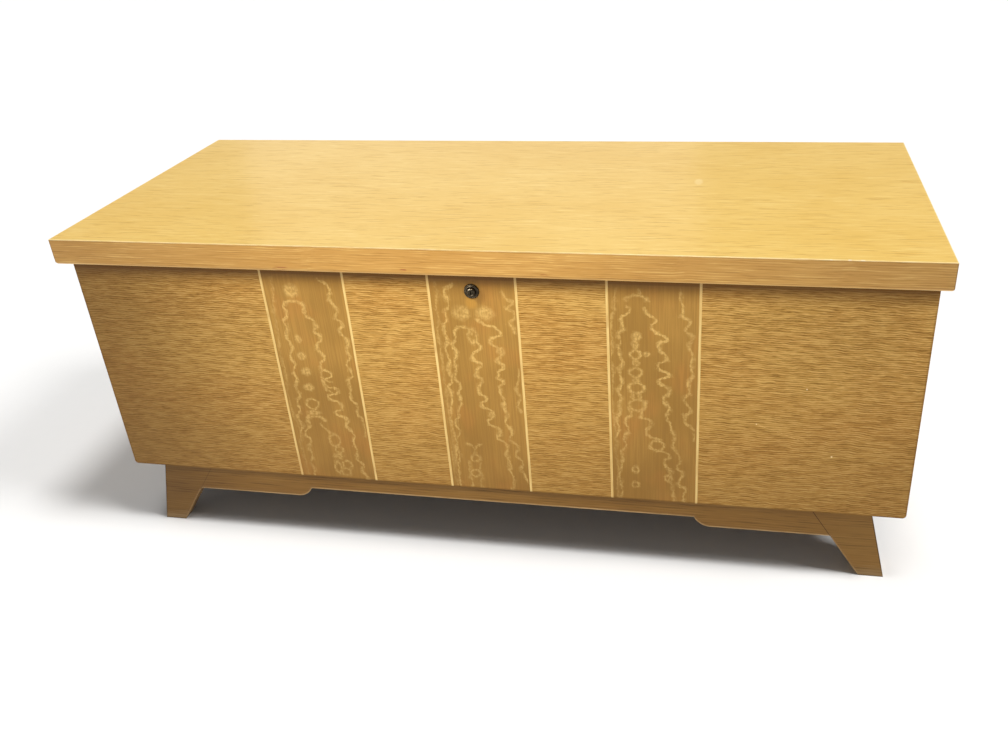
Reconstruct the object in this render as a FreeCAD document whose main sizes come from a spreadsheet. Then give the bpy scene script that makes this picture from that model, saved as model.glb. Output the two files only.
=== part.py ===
"""Blanket chest: a veneered, cedar-lined case on a splayed bracket base, under a hinged lid.

Millimetres. +X runs along the chest, -Y is the front, +Z is up. The origin lies on the floor,
below the centre of the whole chest with its hinge barrels.
"""
import FreeCAD, Part
import math
import os
import Sketcher

SIZES = {
    # lid and case
    "lid_length": 1092,
    "lid_depth": 441,
    "lid_thick": 35,
    "side_overhang": 10,        # lid past the case at each end
    "front_overhang": 18,       # lid past the case in front
    "case_height": 322,         # bottom edge of the case to the underside of the lid
    "lid_gap": 1.6,             # rim to lid, held open by the bumpers
    "corner_round": 5,          # bottom corners of the case, seen from the front
    # layers of a wall, from the outside
    "veneer": 1,
    "core": 12,
    "cedar": 7,
    "cedar_boards": 3,          # boards up each wall
    "floor_boards": 4,          # boards across the floor, and across the lid
    "cedar_gap": 0.4,
    "cedar_bevel": 1.2,
    "bottom_board": 12,
    "bottom_rabbet": 6,
    "spline_thick": 3,
    "spline_long": 10,          # across the mitre
    # bands of figured veneer down the front
    "band_wide": 110,
    "band_pitch": 220,
    "string_wide": 3,
    # base
    "base_height": 107,
    "base_recess": 11,          # base behind the face of the case, front and back
    "base_board": 18,
    "foot_in": 15,              # foot on the floor, in from the end of the case
    "foot_top_in": 40.5,        # the same under the case
    "foot_sole": 32,            # foot on the floor, across the front
    "foot_head": 77,            # foot under the case, across the front
    "foot_side_toe": 34,        # sole of a foot, front to back
    "foot_side_top": 84,
    "apron_drop": 45.4,           # apron beside the feet
    "apron_drop_middle": 31,  # apron between its two steps
    "apron_step_in": 124.5,     # where the step begins, from the foot's joint
    "apron_step_run": 22,
    "block_leg": 30,            # glue blocks in the corners of the base
    "block_high": 70,
    "cleat": 18,
    "cleat_screw_in": 88.5,     # outer screws, from the foot's joint
    # lid
    "lid_rail": 60,
    "lid_cedar_recess": 4,      # cedar above the underside of the rails
    "lid_round": 5,             # lower outer arris
    "lid_arris": 0.7,           # upper outer arris
    "bumper_radius": 5,
    "bumper_in": 8,             # from the outside of the case
    "bumper_play": 0.3,
    # hinges
    "hinge_long": 76,
    "hinge_in": 156,            # middle of the outer hinges, from the end of the case
    "hinge_leaf": 2,
    "leaf_reach": 12.5,
    "hinge_standoff": 3.6,      # pin centre behind the back of the case
    "knuckle_radius": 3.2,
    "knuckle_gap": 0.3,
    "pin_radius": 1.5,
    "pin_head_radius": 2.4,
    "pin_head_long": 1.2,
    "lid_open_degrees": 97,
    # screws
    "screw_head": 3,
    "screw_shank": 1.7,
    "screw_long": 11,
    "base_screw_head": 4,
    "base_screw_shank": 2.2,
    "base_screw_long": 26,
    "screw_slot": 0.7,
    "screw_play": 0.05,         # shank in its hole
    "head_play": 0.1,
    "running_play": 0.05,       # pins, rivets and the lock's plug and button
    "seat_play": 0.2,           # hardware in its mortise
    # lid stays
    "stay_radius": 130,         # pivot and stud, both from the hinge axis
    "stay_drop": 15,            # pivot below the hinge axis
    "stay_start_degrees": 20,   # between pivot and stud, lid shut
    "stay_thick": 2,
    "stay_half_wide": 7,
    "stud_radius": 3,
    "stud_head_radius": 5.5,
    "stud_head": 1.5,
    "slot_play": 0.3,
    "stud_plate": 1.5,
    "stud_plate_wide": 24,
    "stud_plate_high": 44,
    "stud_screw_out": 16,
    "stay_washer": 1,           # stay clear of the stud's plate
    "stay_side_gap": 0.3,
    "rivet_radius": 2.4,
    "rivet_head_radius": 4,
    "rivet_head": 0.8,
    "bracket_flange": 22,
    "bracket_long": 44,
    "bracket_screw_out": 15,
    # lock
    "lock_drop": 26,            # centre of the button below the underside of the lid
    "lock_half": 30,
    "lock_high": 44,
    "lock_deep": 15,
    "lock_wall": 1.5,
    "cover_lip": 10,
    "cover_below": 4,
    "cover_screw_low": 38,
    "cover_screw_high": 8,
    "collar_radius": 9.5,
    "collar_proud": 2.6,
    "collar_sleeve": 8,
    "collar_round": 1,
    "button_radius": 5.8,
    "button_proud": 3,          # past the collar
    "button_head": 4.4,
    "button_dome": 1.2,
    "button_travel": 3,
    "button_flange": 7.4,
    "button_flange_long": 1,
    "stem_radius": 4.6,
    "plug_radius": 3.2,
    "plug_sunk": 0.3,
    "keyway_wide": 1.1,
    "keyway_long": 4.4,
    "keyway_deep": 6,
    "cam_radius": 7,
    "cam_thick": 1.5,
    "cam_arm": 5,               # drive pin from the plug's centre
    "cam_pin": 1.2,
    "cam_pin_long": 7.1,
    "cam_gap": 0.3,
    "cam_slot_play": 0.25,
    "bolt_thick": 2.4,
    "bolt_off_cover": 2.2,
    "bolt_bar": 4.4,
    "bolt_bar_low": 17,         # lower edge of the bar below the rim
    "bolt_tine": 3,
    "bolt_tine_long": 6,
    "bolt_finger": 2.8,
    "bolt_finger_long": 7.2,
    "prong_half_pitch": 15,
    "prong_thick": 2,
    "prong_wide": 6,
    "prong_long": 12.6,
    "prong_eye_down": 8.5,
    "prong_eye_high": 4.4,
    "prong_eye_play": 0.5,
    "prong_clear": 0.8,         # bolt finger to prong while unlocked
    "prong_slot_play": 1,
    "strike_thick": 2,
    "strike_half": 30,
    "strike_wide": 14,
    "strike_screw_out": 24,
    "spring_wire": 0.3,
    "spring_radius": 5.2,
    "spring_turns": 2,
    "spring_gap": 0.3,
}

PLACES = {
    "barrel_out": "size.hinge_standoff + size.knuckle_radius",
    "back": "(size.lid_depth - at.barrel_out) / 2",
    "lid_front": "at.back - size.lid_depth",
    "front": "at.lid_front + size.front_overhang",
    "middle": "(at.front + at.back) / 2",
    "half_deep": "(at.back - at.front) / 2",
    "half_lid": "size.lid_length / 2",
    "half_case": "at.half_lid - size.side_overhang",
    "bottom": "size.base_height",
    "lid_under": "at.bottom + size.case_height",
    "rim": "at.lid_under - size.lid_gap",
    "lid_top": "at.lid_under + size.lid_thick",
    "axis_y": "at.back + size.hinge_standoff",
    "axis_z": "at.rim + size.lid_gap / 2",
    # how far each face of a wall lies inside the case's outside
    "core_in": "size.veneer + size.core",
    "room_in": "at.core_in + size.cedar",
    "lining_x": "at.half_case - at.core_in",
    "room_x": "at.half_case - at.room_in",
    "lining_front": "at.front + at.core_in",
    "lining_back": "at.back - at.core_in",
    "room_front": "at.front + at.room_in",
    "room_back": "at.back - at.room_in",
    "board_top": "at.bottom + size.bottom_board",
    "room_floor": "at.board_top + size.cedar",
    "lid_cedar_low": "at.lid_under + size.lid_cedar_recess",
    "lid_cedar_top": "at.lid_cedar_low + size.cedar",
    "lid_veneer_low": "at.lid_top - size.veneer",
    "hinge_spacing": "at.half_case - size.hinge_in",
    # base
    "base_front": "at.front + size.base_recess",
    "base_back": "at.back - size.base_recess",
    "foot_outer": "at.half_case - size.foot_in",
    "foot_top": "at.half_case - size.foot_top_in",
    "foot_inner": "at.foot_outer - size.foot_sole",
    "foot_joint": "at.foot_top - size.foot_head",
    "apron_step_out": "at.foot_joint - size.apron_step_in",
    "cleat_screw_out": "at.foot_joint - size.cleat_screw_in",
    "lean": "(at.foot_outer - at.foot_top) / size.base_height",
    "side_board": "size.base_board * sqrt(1 + at.lean * at.lean)",
    "joint_lean": "(at.foot_inner - at.foot_joint) / size.base_height",
    "side_lean": "(size.foot_side_top - size.foot_side_toe) / size.base_height",
    "step_rise": "size.apron_drop - size.apron_drop_middle",
    "step_radius": "(size.apron_step_run ^ 2 + at.step_rise ^ 2) / (2 * at.step_rise)",
    # stays, seen from the end of the chest
    "pivot_angle": "asin(size.stay_drop / size.stay_radius) / 1deg",
    "pivot_y": "at.axis_y - size.stay_radius * cos(at.pivot_angle * 1deg)",
    "pivot_z": "at.axis_z - size.stay_drop",
    "stud_angle": "at.pivot_angle + size.stay_start_degrees",
    "stud_y": "at.axis_y - size.stay_radius * cos(at.stud_angle * 1deg)",
    "stud_z": "at.axis_z - size.stay_radius * sin(at.stud_angle * 1deg)",
    "stay_angle": "at.pivot_angle + size.stay_start_degrees / 2",
    "slot_near": "2 * size.stay_radius * sin(size.stay_start_degrees / 2 * 1deg)",
    "slot_far": "2 * size.stay_radius * sin((size.stay_start_degrees + size.lid_open_degrees) / 2 * 1deg)",
    "slot_half": "size.stud_radius + size.slot_play",
    "plate_x": "at.room_x - size.stud_plate",
    "stay_out": "at.plate_x - size.stay_washer",
    "stay_in": "at.stay_out - size.stay_thick",
    "tab_out": "at.stay_in - size.stay_side_gap",
    "tab_in": "at.tab_out - size.stay_thick",
    "flange_in": "at.tab_out - size.bracket_flange",
    # lock
    "lock_z": "at.lid_under - size.lock_drop",
    "lock_front": "at.room_front - size.lock_deep",
    "lock_low": "at.rim - size.lock_high",
    "collar_front": "at.front - size.collar_proud",
    "button_front": "at.collar_front - size.button_proud",
    "shoulder": "at.button_front + size.button_head",
    "cavity_front": "at.lock_front + size.lock_wall",
    "button_back": "at.cavity_front + size.running_play + size.button_flange_long",
    "cam_front": "at.button_back + size.cam_gap",
    "cam_back": "at.cam_front + size.cam_thick",
    "bolt_back": "at.room_front - size.bolt_off_cover",
    "bolt_front": "at.bolt_back - size.bolt_thick",
    "bolt_middle": "(at.bolt_front + at.bolt_back) / 2",
    "bolt_travel": "size.cam_arm * sqrt(2)",
    "drive_x": "-size.cam_arm / sqrt(2)",
    "eye_z": "at.lid_under - size.prong_eye_down",
    "bar_low": "at.rim - size.bolt_bar_low",
    "bar_top": "at.bar_low + size.bolt_bar",
    "strike_front": "at.bolt_middle - size.strike_wide / 2",
}

doc = FreeCAD.newDocument("blanket_chest")
NODES = []


def make_sheet():
    """Spreadsheet of driving sizes, and the places that follow from them."""
    size = doc.addObject("Spreadsheet::Sheet", "size")
    for row, (word, number) in enumerate(SIZES.items(), 1):
        size.set(f"A{row}", word)
        size.set(f"B{row}", str(number))
        size.setAlias(f"B{row}", word)
    doc.recompute()
    at = doc.addObject("App::VarSet", "at")
    for word, expression in PLACES.items():
        at.addProperty("App::PropertyFloat", word)
        at.setExpression(word, expression)
    doc.recompute()
    return size, at


size, at = make_sheet()


def value(expression):
    """Number that a sheet expression gives."""
    result = at.evalExpression(str(expression))
    return float(getattr(result, "Value", result))


# ---- helpers for outlines -------------------------------------------------------------------

def box_outline(x0, y0, x1, y1):
    """Rectangle between two corners."""
    return [(x0, y0), (x1, y0), (x1, y1), (x0, y1)]


def circle(x, y, radius):
    return ("circle", x, y, radius)


def flipped(outline, sign):
    """The outline on the other side of the sketch's upright axis, for sign -1."""
    if sign > 0:
        return outline
    mirrored = []
    for x, y, *radius in outline:
        mirrored.append((f"-({x})", y, *[f"-({turn})" for turn in radius]))
    return mirrored


def inset(inside, x_sign, y_sign):
    """Corner of the case's plan, moved in by a distance from both outside faces."""
    x = f"{x_sign} * (at.half_case - ({inside}))"
    y = f"at.middle + {y_sign} * (at.half_deep - ({inside}))"
    return x, y


def inset_box(inside):
    """Whole plan of the case, moved in all round."""
    return [inset(inside, -1, -1), inset(inside, 1, -1), inset(inside, 1, 1), inset(inside, -1, 1)]


def draw(sketch, outline):
    """Add one closed outline of lines and arcs, each corner held by the sheet.

    A corner is (x, y), or (x, y, radius) where an arc of up to a quarter or so leads to it;
    a negative radius turns clockwise.
    """
    if outline[0] == "circle":
        centre = FreeCAD.Vector(value(outline[1]), value(outline[2]), 0)
        ring = sketch.addGeometry(Part.Circle(centre, FreeCAD.Vector(0, 0, 1), value(outline[3])), False)
        hold(sketch, "Radius", (ring,), outline[3])
        hold_point(sketch, ring, 3, outline)
        return
    points = [FreeCAD.Vector(value(corner[0]), value(corner[1]), 0) for corner in outline]
    ends = []
    for index, start in enumerate(points):
        corner = outline[(index + 1) % len(outline)]
        end = points[(index + 1) % len(outline)]
        if len(corner) == 3:
            radius = value(corner[2])
            edge = sketch.addGeometry(arc_to(start, end, radius), False)
            ends.append((edge, 1, 2) if radius > 0 else (edge, 2, 1))
            hold(sketch, "Radius", (edge,), f"abs({corner[2]})")
        else:
            edge = sketch.addGeometry(Part.LineSegment(start, end), False)
            ends.append((edge, 1, 2))
    for index, (edge, head, tail) in enumerate(ends):
        following = ends[(index + 1) % len(ends)]
        sketch.addConstraint(Sketcher.Constraint("Coincident", edge, tail, following[0], following[1]))
        hold_point(sketch, edge, head, ("",) + tuple(outline[index]))


def arc_to(start, end, radius):
    """Arc between two points that turns left for a positive radius, right for a negative one."""
    chord = end - start
    left = FreeCAD.Vector(-chord.y, chord.x, 0).normalize()
    reach = math.sqrt(max(0, radius * radius - chord.Length ** 2 / 4))
    centre = (start + end) * 0.5 + left * math.copysign(reach, radius)
    first, last = (start, end) if radius > 0 else (end, start)
    angles = [math.atan2(point.y - centre.y, point.x - centre.x) for point in (first, last)]
    ring = Part.Circle(centre, FreeCAD.Vector(0, 0, 1), abs(radius))
    return Part.ArcOfCircle(ring, angles[0], angles[1])


def hold(sketch, kind, what, expression):
    """Constraint whose number is bound to the sheet."""
    index = sketch.addConstraint(Sketcher.Constraint(kind, *what, value(expression)))
    sketch.setExpression(f"Constraints[{index}]", str(expression))


def hold_point(sketch, edge, end, corner):
    """Keep one point of an edge at its place from the sketch's origin."""
    hold(sketch, "DistanceX", (-1, 1, edge, end), corner[1])
    hold(sketch, "DistanceY", (-1, 1, edge, end), corner[2])


# ---- helpers for features -------------------------------------------------------------------

FACING = {"XY": 1, "YZ": 1, "XZ": -1}   # which way an origin plane looks along its own axis


def new_body(name, is_node=True):
    body = doc.addObject("PartDesign::Body", name)
    body.Label = name
    if is_node:
        NODES.append(body)
    return body


def origin_part(body, role):
    return next(feature for feature in body.Origin.OriginFeatures if feature.Role == role)


def sketch_on(body, plane, level, outlines):
    """Sketch on an origin plane of the body, moved along that plane's normal."""
    sketch = body.newObject("Sketcher::SketchObject", f"{body.Name}_sketch")
    sketch.AttachmentSupport = [(origin_part(body, f"{plane}_Plane"), "")]
    sketch.MapMode = "FlatFace"
    sketch.setExpression("AttachmentOffset.Base.z", str(level))
    for outline in outlines:
        draw(sketch, outline)
    sketch.Visibility = False
    return sketch


def extrude(body, kind, plane, low, high, outlines, slope=None):
    """Pad or Pocket between two places on the axis across the plane.

    A slope leans the whole cut or solid: its sideways run along X for each step up.
    """
    facing = FACING[plane]
    from_low = (kind == "Pad") == (facing > 0)
    level = low if from_low else high
    sketch = sketch_on(body, plane, f"{facing} * ({level})", outlines)
    feature = body.newObject(f"PartDesign::{kind}", f"{body.Name}_{kind.lower()}")
    feature.Profile = sketch
    feature.setExpression("Length", f"({high}) - ({low})")
    if slope:
        way = 1 if kind == "Pad" else -1
        feature.UseCustomVector = True
        feature.AlongSketchNormal = True
        feature.Direction = FreeCAD.Vector(way * value(slope), 0, way)
        feature.setExpression("Direction.x", f"{way} * ({slope})")
    return feature


def pad(body, plane, low, high, outlines, slope=None):
    return extrude(body, "Pad", plane, low, high, outlines, slope)


def pocket(body, plane, low, high, outlines, slope=None):
    return extrude(body, "Pocket", plane, low, high, outlines, slope)


def edges_where(shape, test):
    """Names of the edges whose every sample point passes the test."""
    names = []
    for index, edge in enumerate(shape.Edges, 1):
        if all(test(point) for point in edge.discretize(3)):
            names.append(f"Edge{index}")
    return names


def near(number, expression):
    return abs(number - value(expression)) < 0.001


def dress(body, kind, test, amount):
    """Fillet or Chamfer on the edges that pass the test."""
    doc.recompute()
    base = body.Tip
    feature = body.newObject(f"PartDesign::{kind}", f"{body.Name}_{kind.lower()}")
    feature.Base = (base, edges_where(base.Shape, test))
    feature.setExpression("Radius" if kind == "Fillet" else "Size", amount)
    return feature


def countersink(body, axis, level, head="size.screw_head", shank="size.screw_shank"):
    """Bevel the mouths of the screw holes that open at one level on an axis."""
    doc.recompute()
    base = body.Tip
    mouths = [
        f"Edge{index}" for index, edge in enumerate(base.Shape.Edges, 1)
        if edge.Curve.TypeId == "Part::GeomCircle"
        and near(edge.Curve.Radius, f"{shank} + size.screw_play")
        and near(getattr(edge.CenterOfMass, axis), level)
    ]
    feature = body.newObject("PartDesign::Chamfer", f"{body.Name}_countersink")
    feature.Base = (base, mouths)
    feature.setExpression("Size", f"{head} + size.head_play - {shank} - size.screw_play")
    return feature


SCREW_HOLE = "size.screw_shank + size.screw_play"


def screw_holes(body, plane, low, high, spots, radius=SCREW_HOLE):
    return pocket(body, plane, low, high, [circle(x, y, radius) for x, y in spots])


def make_screw(name, head, shank, length):
    """Slotted countersunk wood screw, its head's flat face at the origin and its point down."""
    body = new_body(name, is_node=False)
    point = f"{length} - {shank}"
    outline = [("0", "0"), (head, "0"), (shank, f"-({head} - {shank})"), (shank, f"-({point})"),
               ("0", f"-({length})")]
    turned = body.newObject("PartDesign::Revolution", f"{name}_turned")
    turned.Profile = sketch_on(body, "XZ", "0", [outline])
    turned.ReferenceAxis = (origin_part(body, "Z_Axis"), [""])
    slot = box_outline(f"-{head} - 1", "-size.screw_slot / 2", f"{head} + 1", "size.screw_slot / 2")
    pocket(body, "XY", f"-({head} - {shank}) / 2", "0", [slot])
    return body


def copies(name, source, spots, axis=(0, 0, 1), turn=0, is_node=True):
    """Equal pieces at (x, y, z), all turned the same way, in one node."""
    links = []
    for spot in spots:
        link = doc.addObject("App::Link", f"{name}_copy")
        link.LinkedObject = source
        link.Placement = FreeCAD.Placement(
            FreeCAD.Vector(*[value(place) for place in spot]),
            FreeCAD.Rotation(FreeCAD.Vector(*axis), turn),
        )
        for letter, place in zip("xyz", spot):
            link.setExpression(f"Placement.Base.{letter}", str(place))
        links.append(link)
    if not is_node:
        return links
    return group(name, links)


def group(name, links):
    """One node that holds several separate solids."""
    together = doc.addObject("Part::Compound", name)
    together.Label = name
    together.Links = links
    NODES.append(together)
    return together


def ordered(sign, first, second):
    """Two places mirrored by a sign, lower one first."""
    return sorted((f"{sign} * ({first})", f"{sign} * ({second})"), key=value)


SIDES = {"left": -1, "right": 1}
ENDS = {"front": -1, "back": 1}


# ---- places shared by more than one piece ---------------------------------------------------

HINGE_X = ["-at.hinge_spacing", "0", "at.hinge_spacing"]
LEAF_SCREW_Y = "at.back - size.leaf_reach / 2"
LEAF_SCREW_X = [f"{middle} + {step} * size.hinge_long / 3" for middle in HINGE_X for step in (-1, 0, 1)]
STUD_SCREWS = [("at.stud_y", "at.stud_z - size.stud_screw_out"),
               ("at.stud_y", "at.stud_z + size.stud_screw_out")]
BRACKET_SCREW_X = "(at.tab_in + at.flange_in) / 2"
BRACKET_SCREW_Y = ["at.pivot_y - size.bracket_screw_out", "at.pivot_y + size.bracket_screw_out"]
COVER_SCREWS = [
    (f"{side} * (size.lock_half + size.cover_lip / 2)", f"at.rim - {drop}")
    for side in SIDES.values() for drop in ("size.cover_screw_low", "size.cover_screw_high")
]
STRIKE_SCREWS = [(f"{side} * size.strike_screw_out", "at.bolt_middle") for side in SIDES.values()]
CLEAT_Y = {
    "front": "at.base_front + size.base_board + size.cleat / 2",
    "back": "at.base_back - size.base_board - size.cleat / 2",
}
CLEAT_SCREWS = [
    (f"{step} * at.cleat_screw_out", CLEAT_Y[end]) for end in ENDS for step in (-1, -1 / 3, 1 / 3, 1)
]


# ---- case -----------------------------------------------------------------------------------

def mitred_end(x_sign, y_sign):
    """Outer and inner corner of a wall core's mitred end."""
    return [inset("size.veneer", x_sign, y_sign), inset("at.core_in", x_sign, y_sign)]


def spline_plan(x_sign, y_sign):
    """Plan of the loose spline across one mitre, and so of the grooves it fills."""
    along = "size.spline_long / 2 / sqrt(2)"
    half = "size.spline_thick / 2 / sqrt(2)"
    x, y = inset("size.veneer + size.core / 2", x_sign, y_sign)
    plan = []
    for first, second in ((-1, -1), (-1, 1), (1, 1), (1, -1)):
        x_off = f"{x_sign} * ({first} * {along} - {second} * {half})"
        y_off = f"{y_sign} * ({first} * {along} + {second} * {half})"
        plan.append((f"{x} + {x_off}", f"{y} - {y_off}"))
    return plan


def round_corners(body, signs=(-1, 1)):
    """Cut the case's rounded bottom corners, front view, through a body."""
    out, high = "at.half_case", "at.bottom + size.corner_round"
    outline = [(f"{out} + 1", "at.bottom - 1"), (f"{out} + 1", high), (out, high),
               (f"{out} - size.corner_round", "at.bottom", "-size.corner_round"),
               (f"{out} - size.corner_round", "at.bottom - 1")]
    for sign in signs:
        pocket(body, "XZ", "at.front", "at.back", [flipped(outline, sign)])


def core_board(name, ends):
    """Wall core between two mitres, rabbeted for the bottom board and grooved for the splines."""
    body = new_body(name)
    first, second = ends
    pad(body, "XY", "at.bottom", "at.rim", [mitred_end(*first) + mitred_end(*second)[::-1]])
    pocket(body, "XY", "at.bottom", "at.board_top", [inset_box("at.core_in - size.bottom_rabbet")])
    pocket(body, "XY", "at.board_top", "at.rim", [spline_plan(*end) for end in ends])
    return body


def make_cores():
    front = core_board("front_core", [(-1, -1), (1, -1)])
    lock_mortise(front)
    hole = circle("0", "at.lock_z", "size.collar_sleeve + size.running_play")
    pocket(front, "XZ", "at.front", "at.room_front", [hole])
    screw_holes(front, "XZ", "at.front + size.veneer + 2", "at.room_front", COVER_SCREWS)
    back = core_board("back_core", [(-1, 1), (1, 1)])
    hinge_mortises(back, "at.rim - size.hinge_leaf", "at.rim")
    pilots = [(x, LEAF_SCREW_Y) for x in LEAF_SCREW_X]
    screw_holes(back, "XY", "at.rim - size.screw_long", "at.rim", pilots)
    round_corners(front)
    round_corners(back)
    for side, sign in SIDES.items():
        end = core_board(f"{side}_end_core", [(sign, -1), (sign, 1)])
        low, high = ordered(sign, "at.plate_x", "at.plate_x + size.screw_long")
        screw_holes(end, "YZ", low, high, STUD_SCREWS)
        round_corners(end, [sign])


def lock_mortise(body):
    """Room for the lock's case, open at the rim and towards the inside."""
    half = "size.lock_half + size.seat_play"
    outline = box_outline(f"-({half})", "at.lock_low - size.seat_play", half, "at.rim")
    pocket(body, "XZ", "at.lock_front", "at.room_front", [outline])


def hinge_mortises(body, low, high):
    half = "size.hinge_long / 2 + size.seat_play"
    outlines = [
        box_outline(f"{middle} - ({half})", "at.back - size.leaf_reach - size.seat_play",
                    f"{middle} + {half}", "at.back + 1")
        for middle in HINGE_X
    ]
    pocket(body, "XY", low, high, outlines)


def make_splines():
    """Loose tongues across the four mitres."""
    sources = []
    for x_sign in SIDES.values():
        for y_sign in ENDS.values():
            body = new_body("spline", is_node=False)
            pad(body, "XY", "at.board_top", "at.rim", [spline_plan(x_sign, y_sign)])
            sources.append(body)
    group("corner_splines", sources)


def make_bottom():
    body = new_body("bottom_board")
    pad(body, "XY", "at.bottom", "at.board_top", [inset_box("at.core_in - size.bottom_rabbet")])
    hole = "size.base_screw_shank + size.screw_play"
    depth = "at.bottom + size.base_screw_long - size.cleat"
    screw_holes(body, "XY", "at.bottom", depth, CLEAT_SCREWS, hole)


def make_veneers():
    """Front skin: plain fields, figured bands, and pale strings where they meet."""
    half = "size.band_wide / 2"
    centres = ["-size.band_pitch", "0", "size.band_pitch"]
    trim = "size.string_wide / 2"
    fields = new_body("front_field_veneers")
    starts = ["-at.half_case"] + [f"{centre} + {half} + {trim}" for centre in centres]
    stops = [f"{centre} - {half} - {trim}" for centre in centres] + ["at.half_case"]
    veneer_strips(fields, zip(starts, stops))
    round_corners(fields)
    bands = new_body("front_band_veneers")
    inner = f"({half} - {trim})"
    veneer_strips(bands, [(f"{centre} - {inner}", f"{centre} + {inner}") for centre in centres])
    hole = circle("0", "at.lock_z", "size.collar_sleeve + size.running_play")
    pocket(bands, "XZ", "at.front", "at.front + size.veneer", [hole])
    strings = new_body("front_string_inlays")
    edges = [f"{centre} + {sign} * {half}" for centre in centres for sign in (-1, 1)]
    veneer_strips(strings, [(f"{edge} - {trim}", f"{edge} + {trim}") for edge in edges])
    for side, sign in SIDES.items():
        end = new_body(f"{side}_end_veneer")
        low, high = ordered(sign, "at.half_case", "at.half_case - size.veneer")
        outline = box_outline("at.front + size.veneer", "at.bottom", "at.back - size.veneer", "at.rim")
        pad(end, "YZ", low, high, [outline])
        round_corners(end, [sign])
    back = new_body("back_veneer")
    outline = box_outline("-at.half_case", "at.bottom", "at.half_case", "at.rim")
    pad(back, "XZ", "at.back - size.veneer", "at.back", [outline])
    hinge_mortises(back, "at.rim - size.hinge_leaf", "at.rim")
    round_corners(back)


def veneer_strips(body, spans):
    outlines = [box_outline(start, "at.bottom", stop, "at.rim") for start, stop in spans]
    pad(body, "XZ", "at.front", "at.front + size.veneer", outlines)


def cedar_profile(count, low, high, wall, room):
    """Boards across a wall, (along, through) each, bevelled at their joints on the room side."""
    gap = "size.cedar_gap"
    pitch = f"(({high}) - ({low}) + {gap}) / {count}"
    inward = 1 if value(room) > value(wall) else -1
    shoulder = f"({room}) - {inward} * size.cedar_bevel"
    outlines = []
    for index in range(round(value(count))):
        start = f"({low}) + {index} * {pitch}"
        stop = f"({low}) + {index + 1} * {pitch} - {gap}"
        outlines.append([(start, wall), (start, shoulder), (f"{start} + size.cedar_bevel", room),
                         (f"{stop} - size.cedar_bevel", room), (stop, shoulder), (stop, wall)])
    return outlines


def turned_about(outlines):
    """Swap the two directions of some outlines."""
    return [[(second, first) for first, second in outline] for outline in outlines]


def make_linings():
    """Cedar boards: the floor first, then the walls standing on it."""
    floor = new_body("cedar_floor")
    boards = cedar_profile("size.floor_boards", "at.lining_front", "at.lining_back", "at.board_top",
                           "at.room_floor")
    pad(floor, "YZ", "-at.lining_x", "at.lining_x", boards)
    for end in ENDS:
        wall, room = f"at.lining_{end}", f"at.room_{end}"
        body = new_body(f"cedar_{end}")
        boards = cedar_profile("size.cedar_boards", "at.room_floor", "at.rim", wall, room)
        pad(body, "YZ", "-at.lining_x", "at.lining_x", turned_about(boards))
        if end == "front":
            lock_mortise(body)
            screw_holes(body, "XZ", "at.lining_front", "at.room_front", COVER_SCREWS)
    for side, sign in SIDES.items():
        body = new_body(f"cedar_{side}")
        wall, room = f"{sign} * at.lining_x", f"{sign} * at.room_x"
        boards = cedar_profile("size.cedar_boards", "at.room_floor", "at.rim", wall, room)
        pad(body, "XZ", "at.room_front", "at.room_back", turned_about(boards))
        low, high = ordered(sign, "at.lining_x", "at.room_x")
        screw_holes(body, "YZ", low, high, STUD_SCREWS)


# ---- base -----------------------------------------------------------------------------------

def make_aprons():
    """Front rail with its raised middle, plain back rail, and the two leaning side rails."""
    joint = "at.foot_joint + at.joint_lean * size.apron_drop"
    lower, middle = "at.bottom - size.apron_drop", "at.bottom - size.apron_drop_middle"
    step = "at.apron_step_out - size.apron_step_run"
    front = new_body("front_apron")
    outline = [("-at.foot_joint", "at.bottom"), (f"-({joint})", lower), ("-at.apron_step_out", lower),
               (f"-({step})", middle, "at.step_radius"), (step, middle),
               ("at.apron_step_out", lower, "at.step_radius"), (joint, lower),
               ("at.foot_joint", "at.bottom")]
    pad(front, "XZ", "at.base_front", "at.base_front + size.base_board", [outline])
    back = new_body("back_apron")
    outline = [("-at.foot_joint", "at.bottom"), (f"-({joint})", lower), (joint, lower),
               ("at.foot_joint", "at.bottom")]
    pad(back, "XZ", "at.base_back - size.base_board", "at.base_back", [outline])
    for side, sign in SIDES.items():
        rail = new_body(f"{side}_apron")
        out = "at.foot_top + at.lean * size.apron_drop"
        section = [("at.foot_top", "at.bottom"), (out, lower), (f"{out} - at.side_board", lower),
                   ("at.foot_top - at.side_board", "at.bottom")]
        joint_y = "size.foot_side_top - at.side_lean * size.apron_drop"
        near_y, far_y = f"at.base_front + {joint_y}", f"at.base_back - ({joint_y})"
        pad(rail, "XZ", near_y, far_y, [flipped(section, sign)])
        near_top = ("at.base_front + size.foot_side_top", "at.bottom")
        far_top = ("at.base_back - size.foot_side_top", "at.bottom")
        wedges = [[(near_y, lower), near_top, (near_y, "at.bottom")],
                  [(far_y, lower), far_top, (far_y, "at.bottom")]]
        low, high = ordered(sign, "at.foot_top - at.side_board - 1", "at.foot_outer + 1")
        pocket(rail, "YZ", low, high, wedges)


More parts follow.
